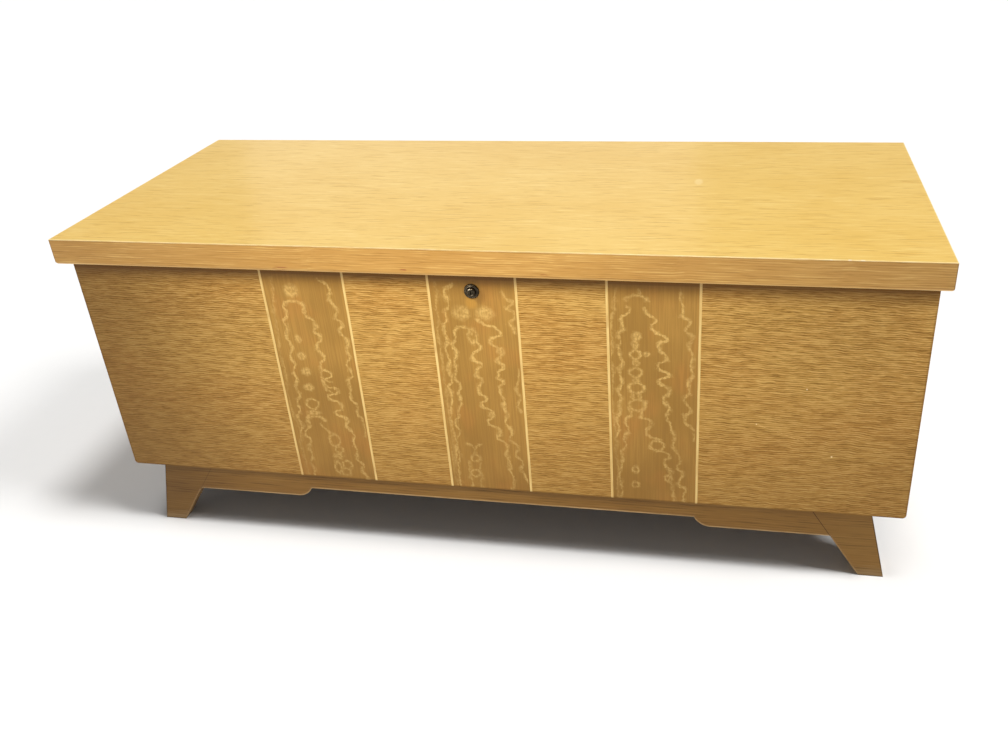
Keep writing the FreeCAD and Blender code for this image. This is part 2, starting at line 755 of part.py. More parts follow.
def make_foot(side, x_sign, end, y_sign):
    """Two boards mitred along the splayed corner: one in the face of the base, one in its side."""
    face_y = f"at.base_{end}"
    rear_y = f"{face_y} - {y_sign} * size.base_board"
    face = new_body(f"{side}_{end}_foot_face")
    outline = [("at.foot_joint", "at.bottom"), ("at.foot_inner", "0"), ("at.foot_outer", "0"),
               ("at.foot_top", "at.bottom")]
    low, high = ordered(1, face_y, rear_y)
    pad(face, "XZ", low, high, [flipped(outline, x_sign)])
    inner_x = "at.foot_outer - at.side_board"
    beyond = [("at.foot_outer", face_y), (inner_x, rear_y), ("at.foot_outer + 1", rear_y),
              ("at.foot_outer + 1", face_y)]
    slope = f"{-x_sign} * at.lean"
    pocket(face, "XY", "0", "at.bottom", [flipped(on_top(beyond), x_sign)], slope)
    board = new_body(f"{side}_{end}_foot_side")
    tail_y = f"{face_y} - {y_sign} * size.foot_side_top"
    section = [("at.foot_outer", face_y), ("at.foot_outer", tail_y), (inner_x, tail_y),
               (inner_x, rear_y)]
    pad(board, "XY", "0", "at.bottom", [flipped(section, x_sign)], slope)
    toe_y = f"{face_y} - {y_sign} * size.foot_side_toe"
    wedge = [(toe_y, "0"), (tail_y, "at.bottom"), (f"{tail_y} - {y_sign}", "at.bottom"),
             (f"{tail_y} - {y_sign}", "0")]
    low, high = ordered(x_sign, "at.foot_top - at.side_board - 1", "at.foot_outer + 1")
    pocket(board, "YZ", low, high, [wedge])


def on_top(outline):
    """A plan at the floor, moved along the splay to where it lies under the case."""
    return [(f"{x} - at.lean * size.base_height", y) for x, y in outline]


def make_blocks():
    """Glue blocks behind the feet, leaning with them, and screwed cleats behind the aprons."""
    blocks = []
    for x_sign in SIDES.values():
        for end, y_sign in ENDS.items():
            body = new_body("corner_block", is_node=False)
            x = "at.foot_top - at.side_board + at.lean * size.block_high"
            y = f"at.base_{end} - {y_sign} * size.base_board"
            plan = [(x, y), (x, f"{y} - {y_sign} * size.block_leg"), (f"{x} - size.block_leg", y)]
            pad(body, "XY", "at.bottom - size.block_high", "at.bottom", [flipped(plan, x_sign)],
                f"{-x_sign} * at.lean")
            blocks.append(body)
    group("corner_blocks", blocks)
    cleats = new_body("base_cleats")
    reach = "at.foot_top - at.side_board - size.block_leg - 1"
    plans = [box_outline(f"-({reach})", f"{CLEAT_Y[end]} - size.cleat / 2",
                         reach, f"{CLEAT_Y[end]} + size.cleat / 2") for end in ENDS]
    pad(cleats, "XY", "at.bottom - size.cleat", "at.bottom", plans)
    hole = "size.base_screw_shank + size.screw_play"
    screw_holes(cleats, "XY", "at.bottom - size.cleat", "at.bottom", CLEAT_SCREWS, hole)
    countersink(cleats, "z", "at.bottom - size.cleat", "size.base_screw_head", "size.base_screw_shank")
    screw = make_screw("base_screw", "size.base_screw_head", "size.base_screw_shank",
                       "size.base_screw_long - size.base_screw_shank")
    spots = [(x, y, "at.bottom - size.cleat") for x, y in CLEAT_SCREWS]
    copies("base_screws", screw, spots, axis=(1, 0, 0), turn=180)


# ---- lid ------------------------------------------------------------------------------------

def lid_corner(inside, x_sign, y_sign):
    """Corner of the lid's plan, moved in from its edges."""
    y = f"at.back - ({inside})" if y_sign > 0 else f"at.lid_front + {inside}"
    return f"{x_sign} * (at.half_lid - ({inside}))", y


def make_lid():
    """Mitred frame of solid rails round a panel, veneered on top and lined with cedar."""
    for end, y_sign in ENDS.items():
        rail = new_body(f"lid_{end}_rail")
        plan = [lid_corner("0", -1, y_sign), lid_corner("0", 1, y_sign),
                lid_corner("size.lid_rail", 1, y_sign), lid_corner("size.lid_rail", -1, y_sign)]
        pad(rail, "XY", "at.lid_under", "at.lid_veneer_low", [plan])
        if end == "back":
            hinge_mortises(rail, "at.lid_under", "at.lid_under + size.hinge_leaf")
            spots = [(x, LEAF_SCREW_Y) for x in LEAF_SCREW_X]
            screw_holes(rail, "XY", "at.lid_under", "at.lid_under + size.screw_long", spots)
        else:
            half = "size.strike_half + size.seat_play"
            seat = box_outline(f"-({half})", "at.strike_front - size.seat_play", half,
                               "at.strike_front + size.strike_wide + size.seat_play")
            pocket(rail, "XY", "at.lid_under", "at.lid_under + size.strike_thick", [seat])
            screw_holes(rail, "XY", "at.lid_under", "at.lid_under + size.screw_long", STRIKE_SCREWS)
            dress(rail, "Fillet",
                  lambda p: near(p.y, "at.lid_front") and near(p.z, "at.lid_under"), "size.lid_round")
    for side, x_sign in SIDES.items():
        rail = new_body(f"lid_{side}_rail")
        plan = [lid_corner("0", x_sign, -1), lid_corner("0", x_sign, 1),
                lid_corner("size.lid_rail", x_sign, 1), lid_corner("size.lid_rail", x_sign, -1)]
        pad(rail, "XY", "at.lid_under", "at.lid_veneer_low", [plan])
        spots = [(f"{x_sign} * ({BRACKET_SCREW_X})", y) for y in BRACKET_SCREW_Y]
        half = "(size.bracket_long / 2 + size.seat_play)"
        seat = box_outline("at.flange_in - size.seat_play", f"at.pivot_y - {half}",
                           "at.tab_out + size.seat_play", f"at.pivot_y + {half}")
        pocket(rail, "XY", "at.lid_under", "at.lid_under + size.stay_thick", [flipped(seat, x_sign)])
        screw_holes(rail, "XY", "at.lid_under", "at.lid_under + size.screw_long", spots)
        outer = f"{x_sign} * at.half_lid"
        dress(rail, "Fillet", lambda p: near(p.x, outer) and near(p.z, "at.lid_under"), "size.lid_round")
    panel = new_body("lid_panel")
    plan = [lid_corner("size.lid_rail", -1, -1), lid_corner("size.lid_rail", 1, -1),
            lid_corner("size.lid_rail", 1, 1), lid_corner("size.lid_rail", -1, 1)]
    pad(panel, "XY", "at.lid_cedar_top", "at.lid_veneer_low", [plan])
    boards = new_body("lid_cedar_boards")
    outlines = cedar_profile("size.floor_boards", "at.lid_front + size.lid_rail",
                             "at.back - size.lid_rail", "at.lid_cedar_top", "at.lid_cedar_low")
    pad(boards, "YZ", "-(at.half_lid - size.lid_rail)", "at.half_lid - size.lid_rail", outlines)
    skin = new_body("lid_top_veneer")
    plan = [lid_corner("0", -1, -1), lid_corner("0", 1, -1), lid_corner("0", 1, 1), lid_corner("0", -1, 1)]
    pad(skin, "XY", "at.lid_veneer_low", "at.lid_top", [plan])
    dress(skin, "Fillet", lambda p: near(p.z, "at.lid_top"), "size.lid_arris")
    bumpers = new_body("lid_bumpers")
    spots = [circle(f"{sign} * (at.half_case - size.bumper_in)", "at.front + size.bumper_in",
                    "size.bumper_radius") for sign in SIDES.values()]
    pad(bumpers, "XY", "at.rim + size.bumper_play", "at.lid_under", spots)


# ---- hinges ---------------------------------------------------------------------------------

def make_leaf(name, low, high, own):
    """Hinge leaf at X = 0: a plate, a barrel over its whole length, and the other leaf's gaps."""
    body = new_body(name, is_node=False)
    half = "size.hinge_long / 2"
    plate = box_outline(f"-{half}", "at.back - size.leaf_reach", half, "at.axis_y")
    pad(body, "XY", low, high, [plate])
    pad(body, "YZ", f"-{half}", half, [circle("at.axis_y", "at.axis_z", "size.knuckle_radius")])
    pocket(body, "YZ", f"-{half}", half,
           [circle("at.axis_y", "at.axis_z", "size.pin_radius + size.running_play")])
    knuckle = "size.hinge_long / 5"
    others = [number for number in range(5) if number not in own]
    gaps = []
    for number in others:
        start = f"-{half} + {number} * {knuckle} - size.knuckle_gap / 2"
        stop = f"-{half} + {number + 1} * {knuckle} + size.knuckle_gap / 2"
        gaps.append(box_outline(start, "at.axis_y - size.knuckle_radius - size.knuckle_gap", stop,
                                "at.axis_y + size.knuckle_radius + 1"))
    pocket(body, "XY", "at.axis_z - size.knuckle_radius - 1", "at.axis_z + size.knuckle_radius + 1", gaps)
    spots = [(f"{step} * size.hinge_long / 3", LEAF_SCREW_Y) for step in (-1, 0, 1)]
    screw_holes(body, "XY", low, high, spots)
    return body


def make_hinges():
    lower = make_leaf("case_leaf", "at.rim - size.hinge_leaf", "at.rim", own=(0, 2, 4))
    countersink(lower, "z", "at.rim")
    upper = make_leaf("lid_leaf", "at.lid_under", "at.lid_under + size.hinge_leaf", own=(1, 3))
    countersink(upper, "z", "at.lid_under")
    pin = new_body("hinge_pin", is_node=False)
    half = "(size.hinge_long / 2 + size.running_play)"
    pad(pin, "YZ", f"-{half}", half, [circle("at.axis_y", "at.axis_z", "size.pin_radius")])
    head = [circle("at.axis_y", "at.axis_z", "size.pin_head_radius")]
    pad(pin, "YZ", half, f"{half} + size.pin_head_long", head)
    pad(pin, "YZ", f"-{half} - size.pin_head_long", f"-{half}", head)
    spots = [(x, "0", "0") for x in HINGE_X]
    copies("hinge_case_leaves", lower, spots)
    copies("hinge_lid_leaves", upper, spots)
    copies("hinge_pins", pin, spots)


# ---- lid stays ------------------------------------------------------------------------------

def rounded_bar(half, top, low):
    """Upright bar with round ends, centred on the sketch's upright axis."""
    return [(half, low, half), (half, top), ("0", f"{top} + {half}", half),
            (f"-{half}", top, half), (f"-{half}", low), ("0", f"{low} - {half}", half)]


def make_stay(side, sign):
    """Slotted arm, drawn hanging from its pivot at the origin and placed by its Placement."""
    arm = new_body(f"{side}_stay_arm")
    low, high = ordered(sign, "at.stay_out", "at.stay_in")
    bar = rounded_bar("size.stay_half_wide", "0", "-at.slot_far")
    pad(arm, "YZ", low, high, [bar])
    slot = rounded_bar("at.slot_half", "-at.slot_near", "-at.slot_far")
    pocket(arm, "YZ", low, high, [slot, circle("0", "0", "size.rivet_radius + size.running_play")])
    arm.Placement = FreeCAD.Placement(
        FreeCAD.Vector(0, value("at.pivot_y"), value("at.pivot_z")),
        FreeCAD.Rotation(FreeCAD.Vector(1, 0, 0), value("at.stay_angle")),
    )
    arm.setExpression("Placement.Base.y", "at.pivot_y")
    arm.setExpression("Placement.Base.z", "at.pivot_z")
    arm.setExpression("Placement.Rotation.Angle", "at.stay_angle * 1deg")


def make_stay_fittings():
    """Stud plates on the end walls, brackets under the lid, and the rivets of the arms."""
    plates, brackets, rivets = [], [], []
    for side, sign in SIDES.items():
        make_stay(side, sign)
        plate = new_body(f"{side}_stud_plate", is_node=False)
        low, high = ordered(sign, "at.plate_x", "at.room_x")
        wide, high_half = "size.stud_plate_wide / 2", "size.stud_plate_high / 2"
        outline = box_outline(f"at.stud_y - {wide}", f"at.stud_z - {high_half}",
                              f"at.stud_y + {wide}", f"at.stud_z + {high_half}")
        pad(plate, "YZ", low, high, [outline])
        screw_holes(plate, "YZ", low, high, STUD_SCREWS)
        countersink(plate, "x", f"{sign} * at.plate_x")
        low, high = ordered(sign, "at.tab_out", "at.plate_x")
        pad(plate, "YZ", low, high, [circle("at.stud_y", "at.stud_z", "size.stud_radius")])
        low, high = ordered(sign, "at.tab_out - size.stud_head", "at.tab_out")
        pad(plate, "YZ", low, high, [circle("at.stud_y", "at.stud_z", "size.stud_head_radius")])
        plates.append(plate)
        bracket = new_body(f"{side}_stay_bracket", is_node=False)
        half = "size.stay_half_wide"
        tab = [(f"at.pivot_y + {half}", "at.pivot_z", half), (f"at.pivot_y + {half}", "at.lid_under"),
               (f"at.pivot_y - {half}", "at.lid_under"), (f"at.pivot_y - {half}", "at.pivot_z"),
               ("at.pivot_y", f"at.pivot_z - {half}", half)]
        low, high = ordered(sign, "at.tab_in", "at.tab_out")
        pad(bracket, "YZ", low, high, [tab])
        pocket(bracket, "YZ", low, high,
               [circle("at.pivot_y", "at.pivot_z", "size.rivet_radius + size.running_play")])
        flange = box_outline("at.flange_in", "at.pivot_y - size.bracket_long / 2", "at.tab_out",
                             "at.pivot_y + size.bracket_long / 2")
        pad(bracket, "XY", "at.lid_under", "at.lid_under + size.stay_thick", [flipped(flange, sign)])
        spots = [(f"{sign} * ({BRACKET_SCREW_X})", y) for y in BRACKET_SCREW_Y]
        screw_holes(bracket, "XY", "at.lid_under", "at.lid_under + size.stay_thick", spots)
        countersink(bracket, "z", "at.lid_under")
        brackets.append(bracket)
        rivet = new_body(f"{side}_stay_rivet", is_node=False)
        play = "size.running_play"
        low, high = ordered(sign, f"at.tab_in - {play}", f"at.stay_out + {play}")
        pad(rivet, "YZ", low, high, [circle("at.pivot_y", "at.pivot_z", "size.rivet_radius")])
        for near_x, far_x in ((f"at.tab_in - {play} - size.rivet_head", f"at.tab_in - {play}"),
                              (f"at.stay_out + {play}", f"at.stay_out + {play} + size.rivet_head")):
            low, high = ordered(sign, near_x, far_x)
            pad(rivet, "YZ", low, high, [circle("at.pivot_y", "at.pivot_z", "size.rivet_head_radius")])
        rivets.append(rivet)
    group("stay_stud_plates", plates)
    group("stay_lid_brackets", brackets)
    group("stay_pivot_rivets", rivets)


# ---- lock -----------------------------------------------------------------------------------

def make_lock_case():
    """Pressed case in the mortise, open to the room, with two slots in its top for the prongs."""
    case = new_body("lock_case")
    shell = box_outline("-size.lock_half", "at.lock_low", "size.lock_half", "at.rim")
    pad(case, "XZ", "at.lock_front", "at.room_front", [shell])
    wall = "size.lock_wall"
    hollow = box_outline(f"-size.lock_half + {wall}", f"at.lock_low + {wall}", f"size.lock_half - {wall}",
                         f"at.rim - {wall}")
    pocket(case, "XZ", "at.cavity_front", "at.room_front", [hollow])
    pocket(case, "XZ", "at.lock_front", "at.cavity_front",
           [circle("0", "at.lock_z", "size.stem_radius + size.running_play")])
    side = "size.prong_thick / 2 + size.prong_slot_play"
    slots = [box_outline(f"{sign} * size.prong_half_pitch - ({side})",
                         "at.bolt_middle - size.prong_wide / 2 - size.prong_slot_play",
                         f"{sign} * size.prong_half_pitch + {side}", "at.room_front + 1")
             for sign in SIDES.values()]
    pocket(case, "XY", f"at.rim - {wall}", "at.rim", slots)
    cover = new_body("lock_cover")
    reach = "size.lock_half + size.cover_lip"
    plate = box_outline(f"-({reach})", "at.lock_low - size.cover_below", reach, "at.rim")
    pad(cover, "XZ", "at.room_front", f"at.room_front + {wall}", [plate])
    screw_holes(cover, "XZ", "at.room_front", f"at.room_front + {wall}", COVER_SCREWS)
    countersink(cover, "y", f"at.room_front + {wall}")


def make_lock_front():
    """Collar on the face of the chest, the spring button in it, and the key plug in the button."""
    collar = new_body("lock_collar")
    pad(collar, "XZ", "at.collar_front", "at.front", [circle("0", "at.lock_z", "size.collar_radius")])
    pad(collar, "XZ", "at.front", "at.lock_front", [circle("0", "at.lock_z", "size.collar_sleeve")])
    pocket(collar, "XZ", "at.collar_front", "at.lock_front",
           [circle("0", "at.lock_z", "size.button_radius + size.running_play")])
    dress(collar, "Fillet",
          lambda p: near(p.y, "at.collar_front") and math.hypot(p.x, p.z - value("at.lock_z"))
          > value("size.collar_sleeve"), "size.collar_round")
    button = new_body("lock_button")
    pad(button, "XZ", "at.button_front", "at.shoulder", [circle("0", "at.lock_z", "size.button_radius")])
    pad(button, "XZ", "at.shoulder", "at.button_back", [circle("0", "at.lock_z", "size.stem_radius")])
    pad(button, "XZ", "at.button_back - size.button_flange_long", "at.button_back",
        [circle("0", "at.lock_z", "size.button_flange")])
    dress(button, "Fillet", lambda p: near(p.y, "at.button_front"), "size.button_dome")
    pocket(button, "XZ", "at.button_front", "at.button_back",
           [circle("0", "at.lock_z", "size.plug_radius + size.running_play")])
    plug = new_body("key_plug")
    face = "at.button_front + size.plug_sunk"
    pad(plug, "XZ", face, "at.cam_front", [circle("0", "at.lock_z", "size.plug_radius")])
    pad(plug, "XZ", "at.cam_front", "at.cam_back", [circle("0", "at.lock_z", "size.cam_radius")])
    pin_z = "at.lock_z + size.cam_arm / sqrt(2)"
    pad(plug, "XZ", "at.cam_back", "at.cam_back + size.cam_pin_long",
        [circle("at.drive_x", pin_z, "size.cam_pin")])
    keyway = box_outline("-size.keyway_wide / 2", "at.lock_z - size.keyway_long / 2",
                         "size.keyway_wide / 2", "at.lock_z + size.keyway_long / 2")
    pocket(plug, "XZ", face, f"{face} + size.keyway_deep", [keyway])


def make_spring():
    """Coil round the button's stem, standing on the lock's case, at its length when pressed.

    Its thin wire is drawn eight-sided.
    """
    turns, wire = "size.spring_turns", "size.spring_wire"
    room = f"at.lock_front - at.shoulder - size.button_travel - size.spring_gap - 2 * {wire}"
    helix = doc.addObject("Part::Helix", "spring_path")
    helix.setExpression("Radius", "size.spring_radius")
    helix.setExpression("Height", room)
    helix.setExpression("Pitch", f"({room}) / {turns}")
    wire_end = doc.addObject("Part::RegularPolygon", "spring_section")
    wire_end.Polygon = 8
    wire_end.setExpression("Circumradius", wire)
    wire_end.Placement = FreeCAD.Placement(
        FreeCAD.Vector(value("size.spring_radius"), 0, 0), FreeCAD.Rotation(FreeCAD.Vector(1, 0, 0), 90))
    wire_end.setExpression("Placement.Base.x", "size.spring_radius")
    doc.recompute()
    spring = doc.addObject("Part::Sweep", "button_spring")
    spring.Sections = [wire_end]
    spring.Spine = (helix, ["Edge1"])
    spring.Solid = True
    spring.Frenet = True
    spring.Label = "button_spring"
    spring.Placement = FreeCAD.Placement(
        FreeCAD.Vector(0, value(f"at.lock_front - {wire} - size.running_play"), value("at.lock_z")),
        FreeCAD.Rotation(FreeCAD.Vector(1, 0, 0), 90))
    spring.setExpression("Placement.Base.y", f"at.lock_front - {wire} - size.running_play")
    spring.setExpression("Placement.Base.z", "at.lock_z")
    NODES.append(spring)


def make_bolt():
    """Sliding bolt with two fingers for the prongs and a fork for the plug's drive pin."""
    bolt = new_body("lock_bolt")
    finger = "size.bolt_finger / 2"
    tips = [f"{sign} * size.prong_half_pitch - size.prong_thick / 2 - size.prong_clear"
            for sign in SIDES.values()]
    post = "size.bolt_tine"
    left = f"{tips[0]} - size.bolt_finger_long - {post}"
    right = f"{tips[1]} - size.bolt_finger_long"
    slot = "(size.cam_pin + size.cam_slot_play)"
    tine_low = "at.bar_low - size.bolt_tine_long"
    eye_low, eye_top = f"at.eye_z - {finger}", f"at.eye_z + {finger}"
    outline = [
        (left, "at.bar_low"), (f"at.drive_x - {slot} - {post}", "at.bar_low"),
        (f"at.drive_x - {slot} - {post}", tine_low), (f"at.drive_x - {slot}", tine_low),
        (f"at.drive_x - {slot}", "at.bar_low"), (f"at.drive_x + {slot}", "at.bar_low"),
        (f"at.drive_x + {slot}", tine_low), (f"at.drive_x + {slot} + {post}", tine_low),
        (f"at.drive_x + {slot} + {post}", "at.bar_low"), (right, "at.bar_low"),
        (right, eye_low), (tips[1], eye_low), (tips[1], eye_top), (f"{right} - {post}", eye_top),
        (f"{right} - {post}", "at.bar_top"), (f"{left} + {post}", "at.bar_top"),
        (f"{left} + {post}", eye_low), (tips[0], eye_low), (tips[0], eye_top), (left, eye_top),
    ]
    pad(bolt, "XZ", "at.bolt_front", "at.bolt_back", [outline])


def make_strike():
    """Plate let into the lid's front rail, with two eyed prongs that drop into the lock."""
    strike = new_body("strike_plate")
    top = "at.lid_under + size.strike_thick"
    plate = box_outline("-size.strike_half", "at.strike_front", "size.strike_half",
                        "at.strike_front + size.strike_wide")
    pad(strike, "XY", "at.lid_under", top, [plate])
    screw_holes(strike, "XY", "at.lid_under", top, STRIKE_SCREWS)
    countersink(strike, "z", "at.lid_under")
    for sign in SIDES.values():
        low = f"{sign} * size.prong_half_pitch - size.prong_thick / 2"
        high = f"{sign} * size.prong_half_pitch + size.prong_thick / 2"
        tongue = box_outline("at.bolt_middle - size.prong_wide / 2", "at.lid_under - size.prong_long",
                             "at.bolt_middle + size.prong_wide / 2", "at.lid_under")
        pad(strike, "YZ", low, high, [tongue])
        half = "size.bolt_thick / 2 + size.prong_eye_play"
        eye = box_outline(f"at.bolt_middle - ({half})", "at.eye_z - size.prong_eye_high / 2",
                          f"at.bolt_middle + {half}", "at.eye_z + size.prong_eye_high / 2")
        pocket(strike, "YZ", low, high, [eye])


# ---- screws ---------------------------------------------------------------------------------

def make_screws():
    """Equal wood screws, grouped by what they hold."""
    screw = make_screw("wood_screw", "size.screw_head", "size.screw_shank",
                       "size.screw_long - size.screw_shank")
    up, flat = (1, 0, 0), (0, 1, 0)
    copies("hinge_case_screws", screw, [(x, LEAF_SCREW_Y, "at.rim") for x in LEAF_SCREW_X])
    copies("hinge_lid_screws", screw, [(x, LEAF_SCREW_Y, "at.lid_under") for x in LEAF_SCREW_X], up, 180)
    studs, brackets = [], []
    for sign in SIDES.values():
        spots = [(f"{sign} * at.plate_x", y, z) for y, z in STUD_SCREWS]
        studs += copies("stud_screw", screw, spots, flat, -90 * sign, is_node=False)
        spots = [(f"{sign} * ({BRACKET_SCREW_X})", y, "at.lid_under") for y in BRACKET_SCREW_Y]
        brackets += copies("bracket_screw", screw, spots, up, 180, is_node=False)
    brackets += copies("strike_screw", screw, [(x, y, "at.lid_under") for x, y in STRIKE_SCREWS], up, 180,
                       is_node=False)
    studs += copies("cover_screw", screw,
                    [(x, "at.room_front + size.lock_wall", z) for x, z in COVER_SCREWS], up, -90,
                    is_node=False)
    group("stay_and_lock_screws", studs)
    group("bracket_and_strike_screws", brackets)


# ---- build ----------------------------------------------------------------------------------

def check_document():
    """Stop where an object failed, a cut removed nothing, or a node has no sound solid."""
    for item in doc.Objects:
        if {"Invalid", "Error"} & set(item.State):
            raise RuntimeError(f"{item.Name} is {item.State}")
        if item.TypeId == "PartDesign::Pocket":
            before = item.BaseFeature.Shape.Volume
            if item.Shape.Volume > before - 0.001:
                raise RuntimeError(f"{item.Name} cuts nothing")
    for node in NODES:
        if node.Shape.isNull() or not node.Shape.isValid() or not node.Shape.Solids:
            raise RuntimeError(f"{node.Label} has no valid solid")


def write_nodes():
    os.makedirs("parts", exist_ok=True)
    for node in NODES:
        node.Shape.exportStep(f"parts/{node.Label}.step")
        box = node.Shape.BoundBox
        print(f"{node.Label}: {len(node.Shape.Solids)} solids, "
              f"x {box.XMin:.1f} {box.XMax:.1f}, y {box.YMin:.1f} {box.YMax:.1f}, "
              f"z {box.ZMin:.1f} {box.ZMax:.1f}")


make_cores()
make_splines()
make_bottom()
make_veneers()
make_linings()
make_aprons()
for side_name, side_sign in SIDES.items():
    for end_name, end_sign in ENDS.items():
        make_foot(side_name, side_sign, end_name, end_sign)
make_blocks()
make_lid()
make_hinges()
make_stay_fittings()
make_lock_case()
make_lock_front()
make_spring()
make_bolt()
make_strike()
make_screws()
doc.recompute()
check_document()
write_nodes()
print(len(NODES), "nodes")
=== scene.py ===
import math

import bpy
import numpy as np
from mathutils import Matrix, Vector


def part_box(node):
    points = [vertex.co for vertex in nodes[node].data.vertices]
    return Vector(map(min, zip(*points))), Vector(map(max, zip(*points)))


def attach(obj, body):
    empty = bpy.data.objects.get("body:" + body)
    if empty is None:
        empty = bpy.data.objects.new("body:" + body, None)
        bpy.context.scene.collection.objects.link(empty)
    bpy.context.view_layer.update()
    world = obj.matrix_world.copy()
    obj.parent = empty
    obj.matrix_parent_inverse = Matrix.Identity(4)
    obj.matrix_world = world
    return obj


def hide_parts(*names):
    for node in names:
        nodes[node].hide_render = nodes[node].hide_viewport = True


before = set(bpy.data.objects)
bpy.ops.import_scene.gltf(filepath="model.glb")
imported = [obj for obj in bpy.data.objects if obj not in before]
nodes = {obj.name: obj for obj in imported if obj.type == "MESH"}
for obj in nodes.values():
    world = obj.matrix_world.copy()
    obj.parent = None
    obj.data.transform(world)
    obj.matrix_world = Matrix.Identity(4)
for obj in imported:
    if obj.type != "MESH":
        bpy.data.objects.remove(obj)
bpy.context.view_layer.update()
scene = bpy.context.scene
print("frame loaded,", len(nodes), "nodes")


# a shader socket that takes + - * / as Math nodes
class Value:
    def __init__(self, tree, socket):
        self.tree, self.socket = tree, socket

    # settings go first, then the sockets get numbers or links
    def node(self, kind, settings=None, inputs=None, output=0):
        made = self.tree.nodes.new(kind)
        for word, setting in (settings or {}).items():
            if word == "points":
                setPoints(made.mapping, setting)
            else:
                setattr(made, word, setting)
        for word, given in (inputs or {}).items():
            if isinstance(given, Value):
                self.tree.links.new(given.socket, made.inputs[word])
            elif given is not None:
                made.inputs[word].default_value = given
        return Value(self.tree, made.outputs[output])

    def maths(self, operation, *others):
        inputs = {index: other for index, other in enumerate((self,) + others)}
        return self.node("ShaderNodeMath", {"operation": operation}, inputs)

    def __add__(self, other): return self.maths("ADD", other)
    def __radd__(self, other): return self.maths("ADD", other)
    def __mul__(self, other): return self.maths("MULTIPLY", other)
    def __rmul__(self, other): return self.maths("MULTIPLY", other)
    def __sub__(self, other): return self.maths("SUBTRACT", other)
    def __truediv__(self, other): return self.maths("DIVIDE", other)

    def __rsub__(self, other):
        return self.node("ShaderNodeMath", {"operation": "SUBTRACT"}, {0: other, 1: self})

    def __rtruediv__(self, other):
        return self.node("ShaderNodeMath", {"operation": "DIVIDE"}, {0: other, 1: self})

    def size(self): return self.maths("ABSOLUTE")
    def wave(self): return self.maths("SINE")
    def power(self, exponent): return self.maths("POWER", exponent)
    def least(self, other): return self.maths("MINIMUM", other)
    def most(self, other): return self.maths("MAXIMUM", other)

    # 0 below low, 1 above high, smooth between; works with low above high too
    def step(self, low, high):
        flip = low > high
        inputs = {"Value": self, "From Min": min(low, high), "From Max": max(low, high),
                  "To Min": 1.0 if flip else 0.0, "To Max": 0.0 if flip else 1.0}
        return self.node("ShaderNodeMapRange", {"interpolation_type": "SMOOTHSTEP"}, inputs)

    def noise(self, scales, detail=2.0, roughness=0.5, shift=(0, 0, 0)):
        moved = self.node("ShaderNodeMapping", {}, {"Vector": self, "Location": shift, "Scale": scales})
        inputs = {"Vector": moved, "Scale": 1.0, "Detail": detail, "Roughness": roughness}
        return self.node("ShaderNodeTexNoise", {"noise_dimensions": "3D"}, inputs)

    def mix(self, first, second):
        return self.node("ShaderNodeMix", {"data_type": "RGBA"},
                         {"Factor": self, 6: first, 7: second}, output=2)

    def curve(self, points):
        return self.node("ShaderNodeFloatCurve", {"points": points}, {"Value": self})

    def parts(self):
        split = self.node("ShaderNodeSeparateXYZ", {}, {"Vector": self}).socket.node
        return [Value(self.tree, split.outputs[letter]) for letter in "XYZ"]

    def joined(self, y, z):
        return self.node("ShaderNodeCombineXYZ", {}, {"X": self, "Y": y, "Z": z})


# a Float Curve's line through the given points
def setPoints(mapping, points):
    line = mapping.curves[0]
    line.points[0].location = points[0]
    line.points[-1].location = points[-1]
    for place in points[1:-1]:
        line.points.new(*place)
    mapping.update()


def tone(red, green, blue):
    # display values from 0 to 255, as linear light
    return tuple(((c / 255 + 0.055) / 1.055) ** 2.4 if c > 10 else c / 255 / 12.92
                 for c in (red, green, blue))


def startFinish(name):
    finish = bpy.data.materials.new(name)
    finish.use_nodes = True
    tree = finish.node_tree
    shader = next(n for n in tree.nodes if n.type == "BSDF_PRINCIPLED")
    place = Value(tree, tree.nodes.new("ShaderNodeTexCoord").outputs["Object"])
    return finish, shader, place


def endFinish(shader, constants, colour, roughness, bump=None, depth=0.0002):
    links = shader.id_data.links
    for word, number in constants.items():
        shader.inputs[word].default_value = number
    links.new(colour.socket, shader.inputs["Base Color"])
    links.new(roughness.socket, shader.inputs["Roughness"])
    if bump is not None:
        raised = bump.node("ShaderNodeBump", {}, {"Height": bump, "Distance": depth, "Strength": 1.0})
        links.new(raised.socket, shader.inputs["Normal"])


def paint(finish, *names):
    for name in names:
        mesh = nodes[name].data
        mesh.materials.clear()
        mesh.materials.append(finish)


# what all the oak has in common; each piece's own look follows
oak = {
    "broad": 0.34, "fine": 2.7,               # size of the drift and of the finest grain beside the streaks
    "unbroken": 0.45, "breaks": (0.38, 0.60),               # how far the finest grain breaks up the lines
    "cloudRange": (0.3, 0.7), "fineRange": (0.25, 0.75),
    "grainRough": 0.12, "poreRough": 0.10, "grainHeight": 0.4,
}


